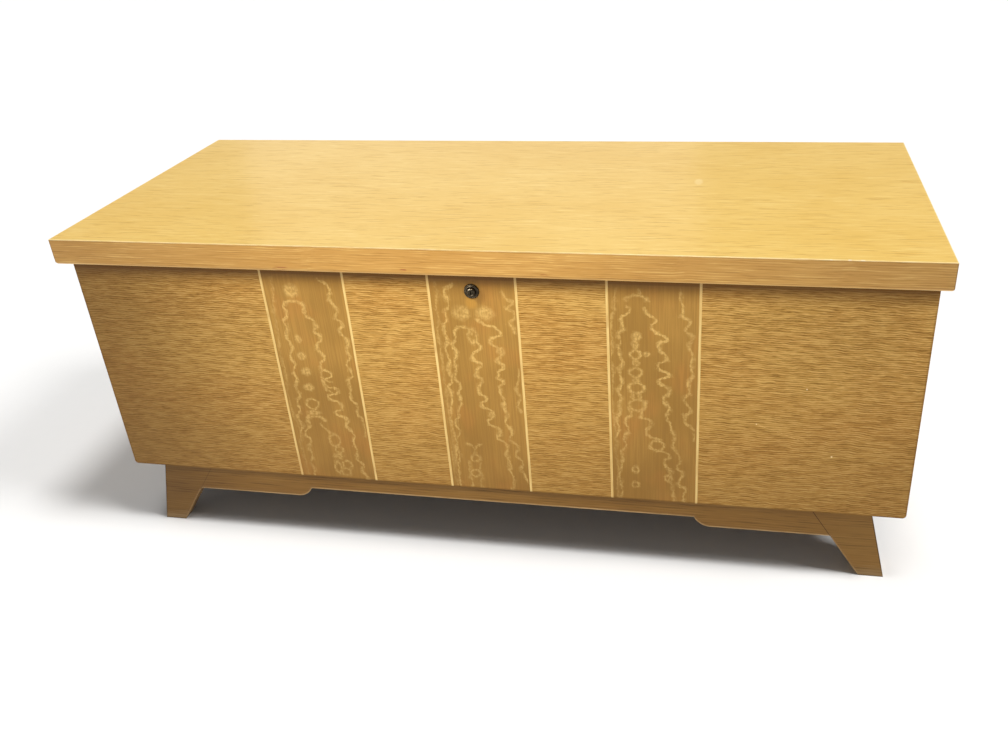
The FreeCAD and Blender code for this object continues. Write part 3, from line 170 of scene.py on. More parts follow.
# oak: combed lines and pore streaks along the grain, on a slowly changing ground
def oakFinish(name, look, wear):
    finish, shader, place = startFinish(name)
    x, y, z = place.parts()
    longWay, acrossWay = look["long"], look["across"]      # features per metre
    order = {"x": (longWay, acrossWay, acrossWay), "y": (acrossWay, longWay, acrossWay),
             "round": (longWay, longWay, acrossWay)}[look["grain"]]
    broad = tuple(oak["broad"] * scale for scale in order)
    # the lines bend up and down a little on their way
    sway = (place.noise(look["swayScale"], 2.0, 0.5, look["shift"]) - 0.5) * look["sway"]
    if look["grain"] == "y":
        bent = (x + sway).joined(y, z + sway)
        level = z + x
    else:
        bent = x.joined(y + sway, z + sway + x * look["lean"])
        level = z + y if look["grain"] == "x" else z + x * look["lean"]
    drift = bent.noise(broad, 2.0, 0.5, look["shift"])
    lines = ((level + sway) * (2 * math.pi / look["linePitch"]) + drift * look["lineDrift"]).wave()
    streak = bent.noise(order, 3.0, 0.62, look["shift"])
    fine = bent.noise(tuple(oak["fine"] * scale for scale in order), 2.0, 0.6)
    comb = lines * look["combShare"] + (streak - 0.5) * look["streakShare"]
    broken = oak["unbroken"] + (1 - oak["unbroken"]) * fine.step(*oak["breaks"])
    pores = comb.step(*look["poreRange"]) * broken
    flecks = comb.step(*look["fleckRange"]) * broken
    cloud = place.noise(look["cloudScale"], 2.0, 0.5, look["shift"])
    ground = cloud.step(*oak["cloudRange"]).mix(look["ground"] + (1,), look["groundTwo"] + (1,))
    colour = (fine.step(*oak["fineRange"]) * look["fineShare"]).mix(ground, look["mid"] + (1,))
    colour = (pores * look["poreShare"]).mix(colour, look["pore"] + (1,))
    colour = (flecks * look["fleckShare"]).mix(colour, look["fleck"] + (1,))
    # the wear function paints wear marks, and also painted shade and painted highlights
    colour = wear(x, y, z, fine, colour)
    rough = look["rough"] + (fine - 0.5) * oak["grainRough"] + pores * oak["poreRough"]
    endFinish(shader, look["gloss"], colour, rough, fine * oak["grainHeight"] - pores, look["depth"])
    return finish


fieldLook = {
    "grain": "round", "long": 52, "across": 400, "shift": (0.3, 0.1, 0.7),
    "swayScale": (52, 52, 36), "sway": 0.0050, "lean": 0.012, "linePitch": 0.0029, "lineDrift": 9.0,
    "combShare": 0.38, "streakShare": 3.0, "cloudScale": (6, 8, 13),
    "poreRange": (-0.02, -0.54), "fleckRange": (0.06, 0.52),
    "ground": tone(200, 154, 76), "groundTwo": tone(192, 141, 66), "mid": tone(177, 130, 56),
    "pore": tone(132, 92, 26), "fleck": tone(236, 193, 112),
    "fineShare": 0.35, "poreShare": 0.85, "fleckShare": 0.62,
    "rough": 0.42, "depth": 0.00012,
    "gloss": {"Coat Weight": 0.12, "Coat Roughness": 0.25, "Specular IOR Level": 0.15},
}
lidTopLook = {
    **fieldLook, "grain": "x", "long": 22, "across": 330, "shift": (1.7, 0.4, 0.2),
    "swayScale": (12, 20, 20), "sway": 0.006, "linePitch": 0.0046, "combShare": 0.25,
    "poreRange": (-0.15, -0.70), "fleckRange": (0.15, 0.75),
    "ground": tone(238, 200, 109), "groundTwo": tone(232, 191, 96), "mid": tone(227, 183, 87),
    "pore": tone(194, 144, 53), "fleck": tone(252, 226, 150),
    "fineShare": 0.45, "poreShare": 0.8, "fleckShare": 0.6,
    "rough": 0.34, "depth": 0.00005,
    "gloss": {"Coat Weight": 0.6, "Coat Roughness": 0.16, "Specular IOR Level": 0.35},
}
lidRailLook = {
    **fieldLook, "grain": "x", "long": 17, "across": 560, "shift": (0.2, 0.9, 0.4),
    "swayScale": (14, 9, 9), "sway": 0.005, "lean": 0.0, "linePitch": 0.0029, "combShare": 0.28,
    "poreRange": (-0.10, -0.65), "fleckRange": (0.10, 0.65),
    "ground": tone(199, 150, 74), "groundTwo": tone(189, 139, 64), "mid": tone(181, 132, 56),
    "pore": tone(156, 108, 38), "fleck": tone(226, 186, 108), "depth": 0.0001, "poreShare": 0.7,
    "gloss": {"Coat Weight": 0.25, "Coat Roughness": 0.25, "Specular IOR Level": 0.3},
}
baseLook = {
    **fieldLook, "grain": "round", "long": 12, "across": 340, "shift": (2.4, 0.3, 1.1),
    "swayScale": (9, 9, 12), "sway": 0.006, "lean": 0.0, "linePitch": 0.0040,
    "poreRange": (-0.20, -0.70), "fleckRange": (0.25, 0.85),
    "ground": tone(143, 105, 50), "groundTwo": tone(133, 95, 43), "mid": tone(123, 86, 37),
    "pore": tone(82, 55, 22), "fleck": tone(165, 127, 70), "depth": 0.00006,
    "fineShare": 0.4, "poreShare": 0.6, "fleckShare": 0.45,
    "gloss": {"Coat Weight": 0.08, "Coat Roughness": 0.3, "Specular IOR Level": 0.12},
}
# tones for wear and for painted light: the pale, soft and rubbed tones also paint highlights on arrises, and
# the dark tone and the dark joint tone also paint shade
wearAndPaintedLight = {"pale": tone(255, 232, 172), "soft": tone(238, 194, 118), "dark": tone(96, 60, 4),
        "scuff": tone(150, 126, 90), "jointAndShade": tone(46, 28, 12), "rubAndPaintedLight": tone(190, 158, 112)}
lidLow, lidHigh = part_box("lid_top_veneer")
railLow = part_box("lid_front_rail")[0]
caseLow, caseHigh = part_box("front_field_veneers")
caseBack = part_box("back_veneer")[1].y


# how far a point is from the middle of an ellipse, squared: 1 on its outline
def ellipse(a, b, midA, midB, radiusA, radiusB):
    offA, offB = (a - midA) / radiusA, (b - midB) / radiusB
    return offA * offA + offB * offB


topMarks = {
    "edge": (0.0018, 0.0004), "top": (0.0002, 0.0006),      # painted highlight, in from the edge and down from the top
    "highlightShare": 0.35, "highlightGrain": 0.5, "rubAndHighlightRange": (0.36, 0.62),
    # x, half length and share of each chip; x, y and two radii of the scuff
    "chips": ((0.4345, 0.0022, 0.9), (0.4480, 0.0030, 0.8), (0.4150, 0.0016, 0.6)),
    "chipDepth": (0.0018, 0.0008), "bare": tone(250, 232, 196),
    "scuff": (0.2590, 0.0300, 0.0060, 0.0120), "scuffRange": (1.3, 0.3), "scuffShare": 0.35,
}


# painted highlight: the lid's upper arris is a little paler, broken by the grain; bare chips near its right
# front corner and a pale scuff are wear
def lidTopWearAndHighlight(x, y, z, fine, colour):
    marks, back = topMarks, y - lidLow.y
    edge = (lidHigh.x - x.size()).least(back)
    # painted highlight along the upper arris
    rubAndHighlight = edge.step(*marks["edge"]).most(z.step(lidHigh.z - marks["top"][0], lidHigh.z - marks["top"][1]))
    rubAndHighlight = rubAndHighlight * (marks["highlightShare"] + marks["highlightGrain"] * fine.step(*marks["rubAndHighlightRange"]))
    colour = rubAndHighlight.mix(colour, wearAndPaintedLight["pale"] + (1,))
    for markX, half, share in marks["chips"]:
        spot = (x - markX).size().step(half, half * 0.5) * back.step(*marks["chipDepth"])
        colour = (spot * share).mix(colour, marks["bare"] + (1,))
    scuff = (ellipse(x, y, *marks["scuff"]) + (fine - 0.5) * 1.2).step(*marks["scuffRange"])
    return (scuff * marks["scuffShare"]).mix(colour, wearAndPaintedLight["pale"] + (1,))


railMarks = {
    "endIn": (0.0016, 0.0004), "endBack": (0.0018, 0.0006), "endShare": 0.5,    # the two front corners
    "low": (0.0042, 0.0015), "lowShare": 0.6, "lowRange": (0.35, 0.6),          # painted highlight on the rounded lower arris, up from the foot
    "high": (0.0024, 0.0014), "highShare": 0.10,                                # down from the top
    # x, z and radius of each nick
    "nicks": ((-0.0767, 0.4362, 0.0050), (0.0961, 0.4354, 0.0060), (-0.2350, 0.4335, 0.0110)),
    "nickFlat": 0.4, "nickRange": (0.46, 0.60), "nickShare": 0.75, "nickTone": tone(150, 78, 36),
}


# the rails are painted paler on their rounded lower arris as a highlight; they are darker at the two front
# corners and just under the veneer, and nicked in places
def railWearAndHighlight(x, y, z, fine, colour):
    marks = railMarks
    ends = x.size().step(lidHigh.x - marks["endIn"][0], lidHigh.x - marks["endIn"][1])
    ends = ends * y.step(lidLow.y + marks["endBack"][0], lidLow.y + marks["endBack"][1])
    colour = (ends * marks["endShare"]).mix(colour, wearAndPaintedLight["dark"] + (1,))
    # painted highlight along the rounded lower arris
    low = z.step(railLow.z + marks["low"][0], railLow.z + marks["low"][1])
    low = low * (0.5 + 0.5 * fine.step(*marks["lowRange"]))
    colour = (low * marks["lowShare"]).mix(colour, wearAndPaintedLight["soft"] + (1,))
    high = z.step(lidHigh.z - marks["high"][0], lidHigh.z - marks["high"][1])
    colour = (high * marks["highShare"]).mix(colour, wearAndPaintedLight["dark"] + (1,))
    for markX, markZ, radius in marks["nicks"]:
        nick = ellipse(x, z, markX, markZ, radius, radius * marks["nickFlat"]).step(1.2, 0.3)
        nick = nick * y.step(0.0, -0.2) * fine.step(*marks["nickRange"])       # on the front only
        colour = (nick * marks["nickShare"]).mix(colour, marks["nickTone"] + (1,))
    return colour


caseShadeMarks = {
    "dull": (0.04, 0.07), "dullShare": 0.46,      # painted shade towards the foot: from so far below the top to so far below the foot
    "line": (0.0105, 0.0085), "lineShare": 0.16,            # painted shade close under the lid, down from the top
    "shade": (0.036, 0.003), "shadeShare": 0.76,
    "foot": (0.0026, 0.0004), "footShare": 0.5,             # up from the foot
    "corner": (0.0030, 0.0008), "cornerShare": 0.42,        # in from the upright corners
}


# painted shade: the case is darker close under the lid and a little towards the foot; it is
# also darker along its lower edge and upright corners
def caseShade(x, y, z, fine, colour, share=1.0):
    marks, top, foot = caseShadeMarks, caseHigh.z, caseLow.z
    # painted shade, darker towards the foot
    dull = z.step(top - marks["dull"][0], foot - marks["dull"][1]) * (marks["dullShare"] * share)
    colour = dull.mix(colour, wearAndPaintedLight["dark"] + (1,))
    # painted shade and shadow close under the lid
    line = z.step(top - marks["line"][0], top - marks["line"][1]) * marks["lineShare"]
    under = line + z.step(top - marks["shade"][0], top - marks["shade"][1]) * marks["shadeShare"]
    low = z.step(foot + marks["foot"][0], foot + marks["foot"][1]) * marks["footShare"]
    wide, thin = marks["corner"]
    half = (caseBack - caseLow.y) / 2
    deep = (y - (caseLow.y + caseBack) / 2).size().step(half - wide, half - thin)
    corner = x.size().step(caseHigh.x - wide, caseHigh.x - thin) * deep
    dark = under.most(low).most(corner * marks["cornerShare"]) * share
    return dark.mix(colour, wearAndPaintedLight["dark"] + (1,))


fieldMarks = {
    "leftShadeRange": (-0.24, -0.54), "dullShare": 0.55,    # x where painted shade on the left-hand field starts, and ends
    # x, z and radius of each chip; middle x and z, half length, fall and half width of the scratch
    "chips": ((0.4026, 0.2881, 0.0013), (0.4386, 0.1934, 0.0015), (0.3460, 0.2350, 0.0011)),
    "chipShare": 0.8,
    "scratch": (0.3780, 0.2228, 0.0330, 0.38, 0.0005),
    "scratchRange": (0.4, 0.55), "scratchShare": 0.5,
}


# the case's painted shade, painted shade on the left end of the left-hand field, and three chips and a long
# faint scratch in the right-hand field
def fieldWearAndShade(x, y, z, fine, colour):
    marks = fieldMarks
    colour = caseShade(x, y, z, fine, colour)
    # painted shade on the left end
    colour = (x.step(*marks["leftShadeRange"]) * marks["dullShare"]).mix(colour, wearAndPaintedLight["dark"] + (1,))
    for markX, markZ, radius in marks["chips"]:
        away = ((x - markX) * (x - markX) + (z - markZ) * (z - markZ)).power(0.5)
        chip = away.step(radius, radius * 0.4) * marks["chipShare"]
        colour = chip.mix(colour, wearAndPaintedLight["pale"] + (1,))
    midX, midZ, half, fall, thin = marks["scratch"]
    off = (z - midZ + (x - midX) * fall).size().step(thin, thin * 0.3)
    off = off * (x - midX).size().step(half, half * 0.9)
    return (off * fine.step(*marks["scratchRange"]) * marks["scratchShare"]).mix(colour, wearAndPaintedLight["soft"] + (1,))


base = {
    "apronLow": 0.0616, "middleLow": 0.0760, "stepOut": 0.294, "stepIn": 0.272,    # the apron's lower edge
    "jointFoot": 0.489, "jointLean": 0.6589, "joint": (0.0008, 0.0002),    # slanted joint with the feet
    "middleY": 0.0056, "sideFoot": 0.1665, "sideLean": 0.467,              # the same at the two ends
    "outerFoot": 0.521, "outerLean": 0.2386, "front": -0.1949,             # outer arris of a front foot
    "shade": (0.088, 0.102), "shadeShare": 0.16, "shadow": (0.0980, 0.1015), "shadowShare": 0.30,
    "rubAndHighlight": (0.0026, 0.0009), "rubAndHighlightEnd": (0.449, 0.447), "rubAndHighlightRange": (0.35, 0.6),
    "jointShare": 0.35, "rightShare": 0.45, "sideIn": (0.470, 0.476), "sideShare": 0.6,
    "jointStart": (0.0600, 0.0618), "inner": (0.0026, 0.0006), "innerTop": (0.062, 0.058),
    "innerIn": (0.440, 0.450), "innerShare": 0.55, "outer": (-0.0016, -0.0006), "outerShare": 0.7,
    "leftEnd": (-0.36, -0.50), "leftShare": 0.30,
    "scuff": (0.017, 0.003), "scuffShare": 0.6, "sole": (0.0022, 0.0006), "soleShare": 0.6,
}


# painted shade: the base is darker close under the case and towards its left end. It has a fine slanted
# joint at each foot, a lower edge painted paler, partly rubbed and partly a painted highlight, and scuffed
# soles
def baseWearAndShade(x, y, z, fine, colour):
    jointAndShade, rubAndPaintedLight = wearAndPaintedLight["jointAndShade"] + (1,), wearAndPaintedLight["rubAndPaintedLight"] + (1,)
    out = x.size()
    # painted shade and shadow close under the case
    shade = z.step(*base["shade"]) * base["shadeShare"] + z.step(*base["shadow"]) * base["shadowShare"]
    colour = shade.mix(colour, jointAndShade)
    # the front one steps up towards its middle along an arc; run^2 + rise^2 = 2 radius rise
    run, rise = base["stepOut"] - base["stepIn"], base["middleLow"] - base["apronLow"]
    radius = (run * run + rise * rise) / (2 * rise)
    inward = (base["stepOut"] - out).most(0).least(run)
    stepped = (radius - (radius * radius - inward * inward).power(0.5)) * y.step(0.05, -0.05)
    low = z - base["apronLow"] - stepped
    # lower edge painted paler, partly rubbed and partly a painted highlight
    rubAndHighlight = low.size().step(*base["rubAndHighlight"]) * out.step(*base["rubAndHighlightEnd"])
    colour = (rubAndHighlight * (0.35 + 0.5 * fine.step(*base["rubAndHighlightRange"]))).mix(colour, rubAndPaintedLight)
    # the joint goes on down as the foot's inner arris, which is painted paler as a highlight
    slant = out - base["jointFoot"] + z * base["jointLean"]
    joint = slant.size().step(*base["joint"]) * (base["jointShare"] + base["rightShare"] * x.step(-0.1, 0.1))
    side = (y - base["middleY"]).size() - base["sideFoot"] + z * base["sideLean"]
    side = side.size().step(*base["joint"]) * out.step(*base["sideIn"]) * base["sideShare"]
    joint = joint.most(side) * z.step(*base["jointStart"])
    colour = joint.mix(colour, jointAndShade)
    inner = slant.step(*base["inner"]) * z.step(*base["innerTop"]) * out.step(*base["innerIn"])
    colour = (inner * fine.step(*base["rubAndHighlightRange"]) * base["innerShare"]).mix(colour, rubAndPaintedLight)
    outer = (out - base["outerFoot"] + z * base["outerLean"]).step(*base["outer"])
    outer = outer * y.step(base["front"] + 0.0020, base["front"] + 0.0008)
    colour = (outer * base["outerShare"]).mix(colour, jointAndShade)
    # painted shade towards the left end
    colour = (x.step(*base["leftEnd"]) * base["leftShare"]).mix(colour, jointAndShade)
    scuffed = (z + (fine - 0.5) * 0.03).step(*base["scuff"])
    colour = (scuffed * base["scuffShare"]).mix(colour, wearAndPaintedLight["scuff"] + (1,))
    return (z.step(*base["sole"]) * base["soleShare"]).mix(colour, jointAndShade)


paint(oakFinish("fieldOak", fieldLook, fieldWearAndShade), "front_field_veneers")
paint(oakFinish("endOak", {**fieldLook, "shift": (4.1, 2.2, 0.3)}, caseShade),
      "left_end_veneer", "right_end_veneer", "back_veneer")
paint(oakFinish("lidTopOak", lidTopLook, lidTopWearAndHighlight), "lid_top_veneer")
paint(oakFinish("lidRailOak", lidRailLook, railWearAndHighlight), "lid_front_rail", "lid_back_rail")
paint(oakFinish("lidEndOak", {**lidRailLook, "grain": "y"}, railWearAndHighlight), "lid_left_rail", "lid_right_rail")
baseNodes = [name for name in nodes if "apron" in name or "foot" in name]
paint(oakFinish("baseOak", baseLook, baseWearAndShade), *baseNodes)
print("oak done")


# figured bands: fine upright grain crossed by pale scalloped growth lines
bandLow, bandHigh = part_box("front_band_veneers")
bandLook = {
    "pitch": 0.220, "wide": 0.110, "inside": 0.104,      # between bands, over a band, between its strings
    "ground": tone(184, 138, 63), "groundTwo": tone(167, 124, 53), "warm": tone(188, 131, 59),
    "line": tone(236, 195, 114), "hair": tone(148, 108, 44),
    "core": (0.0011, 0.0003), "halo": (0.0031, 0.0007), "coreShare": 0.30, "haloShare": 0.46,
    "span": 0.0022,              # heights that each mark of a line covers
    "wobble": 0.0078, "wobbleNoise": (3.0, 0.78),
    "swell": (1.5, 1.0),         # how narrow a line is, and how much less so in its thick stretches
    "hairShare": 0.42, "warmShare": 0.6, "patches": 0.62, "beading": 0.42, "combing": 0.72,
    "rough": 0.40, "depth": 0.00004,
    "gloss": {"Coat Weight": 0.15, "Coat Roughness": 0.24, "Specular IOR Level": 0.15},
    "lockWearAndShadow": [     # x and z, two radii, strength and tone: rubbed below the lock, and the lock's painted shadow to its right
        (-0.002, 0.387, 0.0075, 0.0080, 0.55, tone(206, 150, 60)),
        (0.009, 0.396, 0.0075, 0.0100, 0.45, tone(122, 82, 30)),
    ],
}
# millimetres from the middle of each band's foot: a line is its strength and (up, side) points,
# a ring is (side, up, two radii, kind), where kind 1 is a filled spot, 2 a ring and 3 an arch
bandFigures = {
    -1: {
        "lines": [
            (0.45, [(0, -45), (22, -46), (40, -47), (57, -48), (72, -44), (84, -45), (107, -50),
                (127, -51), (150, -50), (172, -48), (187, -50), (207, -49), (222, -47), (240, -46),
                (260, -46), (277, -43), (292, -41), (307, -40)]),
            (0.95, [(72, -45), (86, -40), (97, -44), (111, -38), (122, -40), (134, -34), (147, -38),
                (160, -34), (172, -36), (182, -32), (190, -35), (197, -36), (205, -31), (213, -32),
                (224, -36), (236, -33), (245, -35), (252, -30), (260, -28), (266, -32)]),
            (0.95, [(0, -38), (12, -35), (22, -38), (37, -34), (50, -36), (62, -32), (72, -37),
                (81, -32), (88, -28), (96, -31), (102, -26)]),
            (1.0, [(0, 44), (10, 40), (17, 36), (26, 40), (34, 32), (50, 34), (62, 31), (74, 34),
                (84, 28), (90, 25), (98, 28), (104, 20), (109, 13), (116, 23), (124, 22), (128, 14),
                (134, 6), (138, 12), (143, 22), (148, 18), (150, 6), (158, 4), (163, 10), (168, 17),
                (173, 12), (178, 4), (186, 5), (192, 12), (200, 10), (206, 4), (214, 6), (220, 12),
                (226, 11), (233, 4), (240, 8), (247, 6), (254, -2)]),
            (0.9, [(72, 50), (87, 52), (102, 49), (110, 44), (122, 46), (132, 38), (147, 40),
                (160, 40), (170, 46), (186, 41), (197, 48), (207, 44), (217, 48), (226, 45), (236, 40),
                (244, 44), (253, 36), (263, 40), (272, 38), (281, 32), (291, 36), (297, 34), (302, 28),
                (307, 22)]),
            (0.8, [(72, 8), (75, 0), (80, -4), (86, -10), (90, -12)]),
            (0.7, [(155, 16), (158, 10), (167, 3), (178, 4)]),
            (0.7, [(140, 14), (143, 10), (147, 5), (150, 6)]),
        ],
        "rings": [(-17, 288, 10, 10.5, 1), (-17, 266, 14.5, 8.5, 3), (-4, 261, 3.5, 7, 1),
                  (-20, 219, 4.5, 6.5, 1), (-20, 194, 6.5, 6, 1), (-18, 170, 7.5, 6.5, 1),
                  (-19, 146, 8, 6, 1), (-18, 120, 9.5, 9, 2), (-18, 106, 11, 4, 1),
                  (-17, 93, 13.5, 8, 3), (4, 63, 8.5, 10.5, 2), (8, 48, 6, 5.5, 2), (5, 37, 8.5, 6, 1),
                  (2, 18, 5, 10, 2), (16, 23, 7, 7.5, 2), (13, 11, 7.5, 6.5, 2)],
    },
    0: {
        "lines": [
            (0.45, [(0, -48), (47, -49), (87, -46), (117, -48), (147, -47), (182, -49), (212, -48),
                (237, -50), (257, -46), (272, -48), (290, -45), (307, -46)]),
            (0.95, [(0, -42), (20, -44), (32, -43), (44, -46), (57, -44), (70, -42), (84, -43),
                (102, -46), (122, -45), (136, -42), (147, -40), (159, -44), (167, -38), (179, -40),
                (188, -42), (197, -38), (207, -40), (217, -42), (226, -38), (236, -40), (247, -41),
                (258, -36), (267, -37), (275, -32), (284, -32), (294, -35), (300, -32), (306, -24)]),
            (0.95, [(37, -42), (52, -40), (70, -42), (82, -40), (90, -36), (102, -40), (114, -35),
                (124, -34), (136, -29), (150, -32), (162, -28), (174, -34), (186, -30), (197, -32),
                (210, -28), (220, -32), (230, -27), (240, -29)]),
            (1.0, [(0, 30), (22, 32), (34, 28), (47, 29), (60, 25), (70, 28), (79, 24), (85, 14),
                (90, 20), (96, 20), (102, 12), (109, 4), (116, 11), (124, 13), (130, 2), (137, -2),
                (144, 6), (150, -2), (157, -5), (164, -2), (172, 2), (179, -5), (186, -4), (194, 3),
                (199, -4), (205, -8), (212, -5), (220, 5), (229, -2)]),
            (1.0, [(14, 52), (27, 48), (37, 44), (49, 46), (59, 38), (72, 42), (84, 32), (94, 35),
                (102, 32), (110, 28), (122, 32), (132, 27), (142, 29), (152, 25), (162, 24), (170, 30),
                (176, 24), (186, 25), (193, 33), (202, 24), (208, 29), (216, 32), (222, 24), (226, 17),
                (234, 20), (238, 32), (244, 30), (250, 21), (252, 12), (258, 5)]),
            (0.8, [(240, 51), (248, 48), (256, 44), (264, 52), (271, 50), (276, 42), (282, 50),
                (287, 44), (297, 38)]),
            (0.7, [(124, 52), (136, 46), (146, 50), (160, 46), (172, 49), (190, 52)]),
            (0.85, [(56, -19), (62, -18), (69, -20), (72, -26)]),
            (0.75, [(62, -18), (68, -16), (72, -10)]),
            (0.75, [(0, -29), (10, -26), (22, -28), (34, -28), (44, -27)]),
            (0.6, [(0, -11), (10, -14), (21, -11), (32, -14), (42, -12)]),
        ],
        "rings": [(-17, 266, 12, 10.5, 1), (-17, 236, 12, 12, 3), (-5, 234, 6, 10.5, 2),
                  (14, 266, 12, 10, 1), (28, 214, 4.5, 6.5, 1), (-18, 49, 6.5, 6, 2),
                  (-20, 24, 7, 6, 2), (-4, 182, 3, 5, 1), (10, 119, 5, 6.5, 1),
                  (18, 90, 5, 5, 1)],
    },
    1: {
        "lines": [
            (0.55, [(0, -46), (22, -48), (47, -46), (77, -49), (97, -48), (122, -50), (162, -52),
                (192, -50), (214, -52), (237, -50), (252, -51), (269, -50), (284, -46), (296, -46),
                (307, -44)]),
            (0.95, [(96, -48), (110, -44), (126, -46), (136, -42), (147, -44), (156, -41), (166, -44),
                (174, -40), (187, -40), (197, -42), (206, -38), (215, -40), (226, -42), (236, -40),
                (246, -42), (254, -36), (262, -38), (269, -38), (274, -32), (280, -28), (284, -32)]),
            (1.0, [(0, 42), (12, 38), (22, 42), (29, 32), (39, 35), (49, 36), (56, 30), (66, 33),
                (76, 32), (86, 25), (99, 26), (110, 23), (122, 20), (134, 16), (146, 20), (152, 14),
                (160, 12), (169, 20), (177, 14), (184, 6), (192, 20), (196, 17), (202, 6), (209, 7),
                (214, 17), (220, 14), (226, 8), (235, 6), (242, 17), (246, 12), (251, 2), (260, -2),
                (266, 4), (272, -4), (282, -10)]),
            (0.85, [(97, 50), (110, 52), (119, 46), (129, 38), (136, 39), (144, 46), (150, 42),
                (159, 38), (169, 44), (182, 42), (192, 47), (209, 45), (222, 47), (234, 41), (246, 47),
                (254, 38), (266, 43), (274, 34), (282, 35), (296, 31), (307, 32)]),
            (0.95, [(0, -44), (14, -42), (30, -44), (44, -44), (60, -40), (74, -42), (86, -35),
                (96, -38), (110, -32), (124, -36), (134, -28), (142, -32)]),
            (0.95, [(96, 10), (100, -2), (109, -10), (116, -4), (124, -2), (130, -16), (136, -15),
                (152, -10)]),
            (0.9, [(0, 26), (26, 24), (34, 20), (46, 22), (54, 18), (64, 14), (74, 20), (78, 13),
                (81, 5), (84, -6)]),
        ],
        "rings": [(-20, 290, 14.5, 8.5, 3), (-21, 243, 6.5, 7, 1), (-22, 232, 5, 7.5, 1),
                  (-22, 218, 7, 6.5, 2), (-22, 206, 5.5, 5, 1), (-22, 193, 8.5, 7, 2),
                  (-22, 182, 5, 4.5, 1), (-21, 171, 10.5, 8, 2), (-26, 158, 3, 5.5, 1),
                  (-17, 158, 3, 5.5, 1), (-20, 146, 11, 9.5, 2), (-8, 219, 4.5, 4, 1),
                  (4, 87, 9.5, 8.5, 2), (-23, 48, 4, 5, 2), (-24, 24, 5, 4.5, 2),
                  (19, 37, 4.5, 5.5, 2), (-17, 302, 3, 5, 1)],
    },
}


# distance to a line whose place across is a smooth curve of the height: taken between the curve's
# places at two heights a little apart, so that a slanting stretch is as thick as an upright one
def lineMark(across, height, tall, swell, share, points):
    look, fade = bandLook, (0.008, 0.004)            # share of the height over which a line's end fades
    path = [(up / 1000 / tall, 0.5 + side / 1000 / look["wide"]) for up, side in points]
    low, high = path[0][0], min(path[-1][0], 1.0)
    path = [(0.0, path[0][1])] * (low > 0) + path[:-1] + [(high, path[-1][1])]
    path = path + [(1.0, path[-1][1])] * (high < 1)
    one, two = height.curve(path), (height + look["span"] / tall).curve(path)
    off = ((across - (one + two) * 0.5).size() - (one - two).size() * 0.5).most(0)
    off = off * look["wide"] * swell
    mark = off.step(*look["core"]) * look["coreShare"] + off.step(*look["halo"]) * look["haloShare"]
    if low > 0:
        mark = mark * height.step(low - fade[0], low + fade[1])
    if high < 1:
        mark = mark * height.step(high + fade[0], high - fade[1])
    return mark * share


# a spot, ring or arch: r = |((side - s) / a, (up - u) / b)|, marked by how far r is from the outline
def ringMark(side, up, s, u, a, b, kind):
    look = bandLook
    ringX, ringZ = (side - s / 1000) / (a / 1000), (up - u / 1000) / (b / 1000)
    away = (ringX * ringX + ringZ * ringZ).power(0.5)
    if kind == 1:
        return away.step(1.3, 0.4) * (1 - 0.45 * away.step(0.5, 0.2)) * 0.72
    off = (away - 0.9).size() * (min(a, b) / 1000)
    mark = off.step(*look["core"]) * look["coreShare"] + off.step(*look["halo"]) * look["haloShare"]
    return mark * ringZ.step(-0.25, 0.1) if kind == 3 else mark


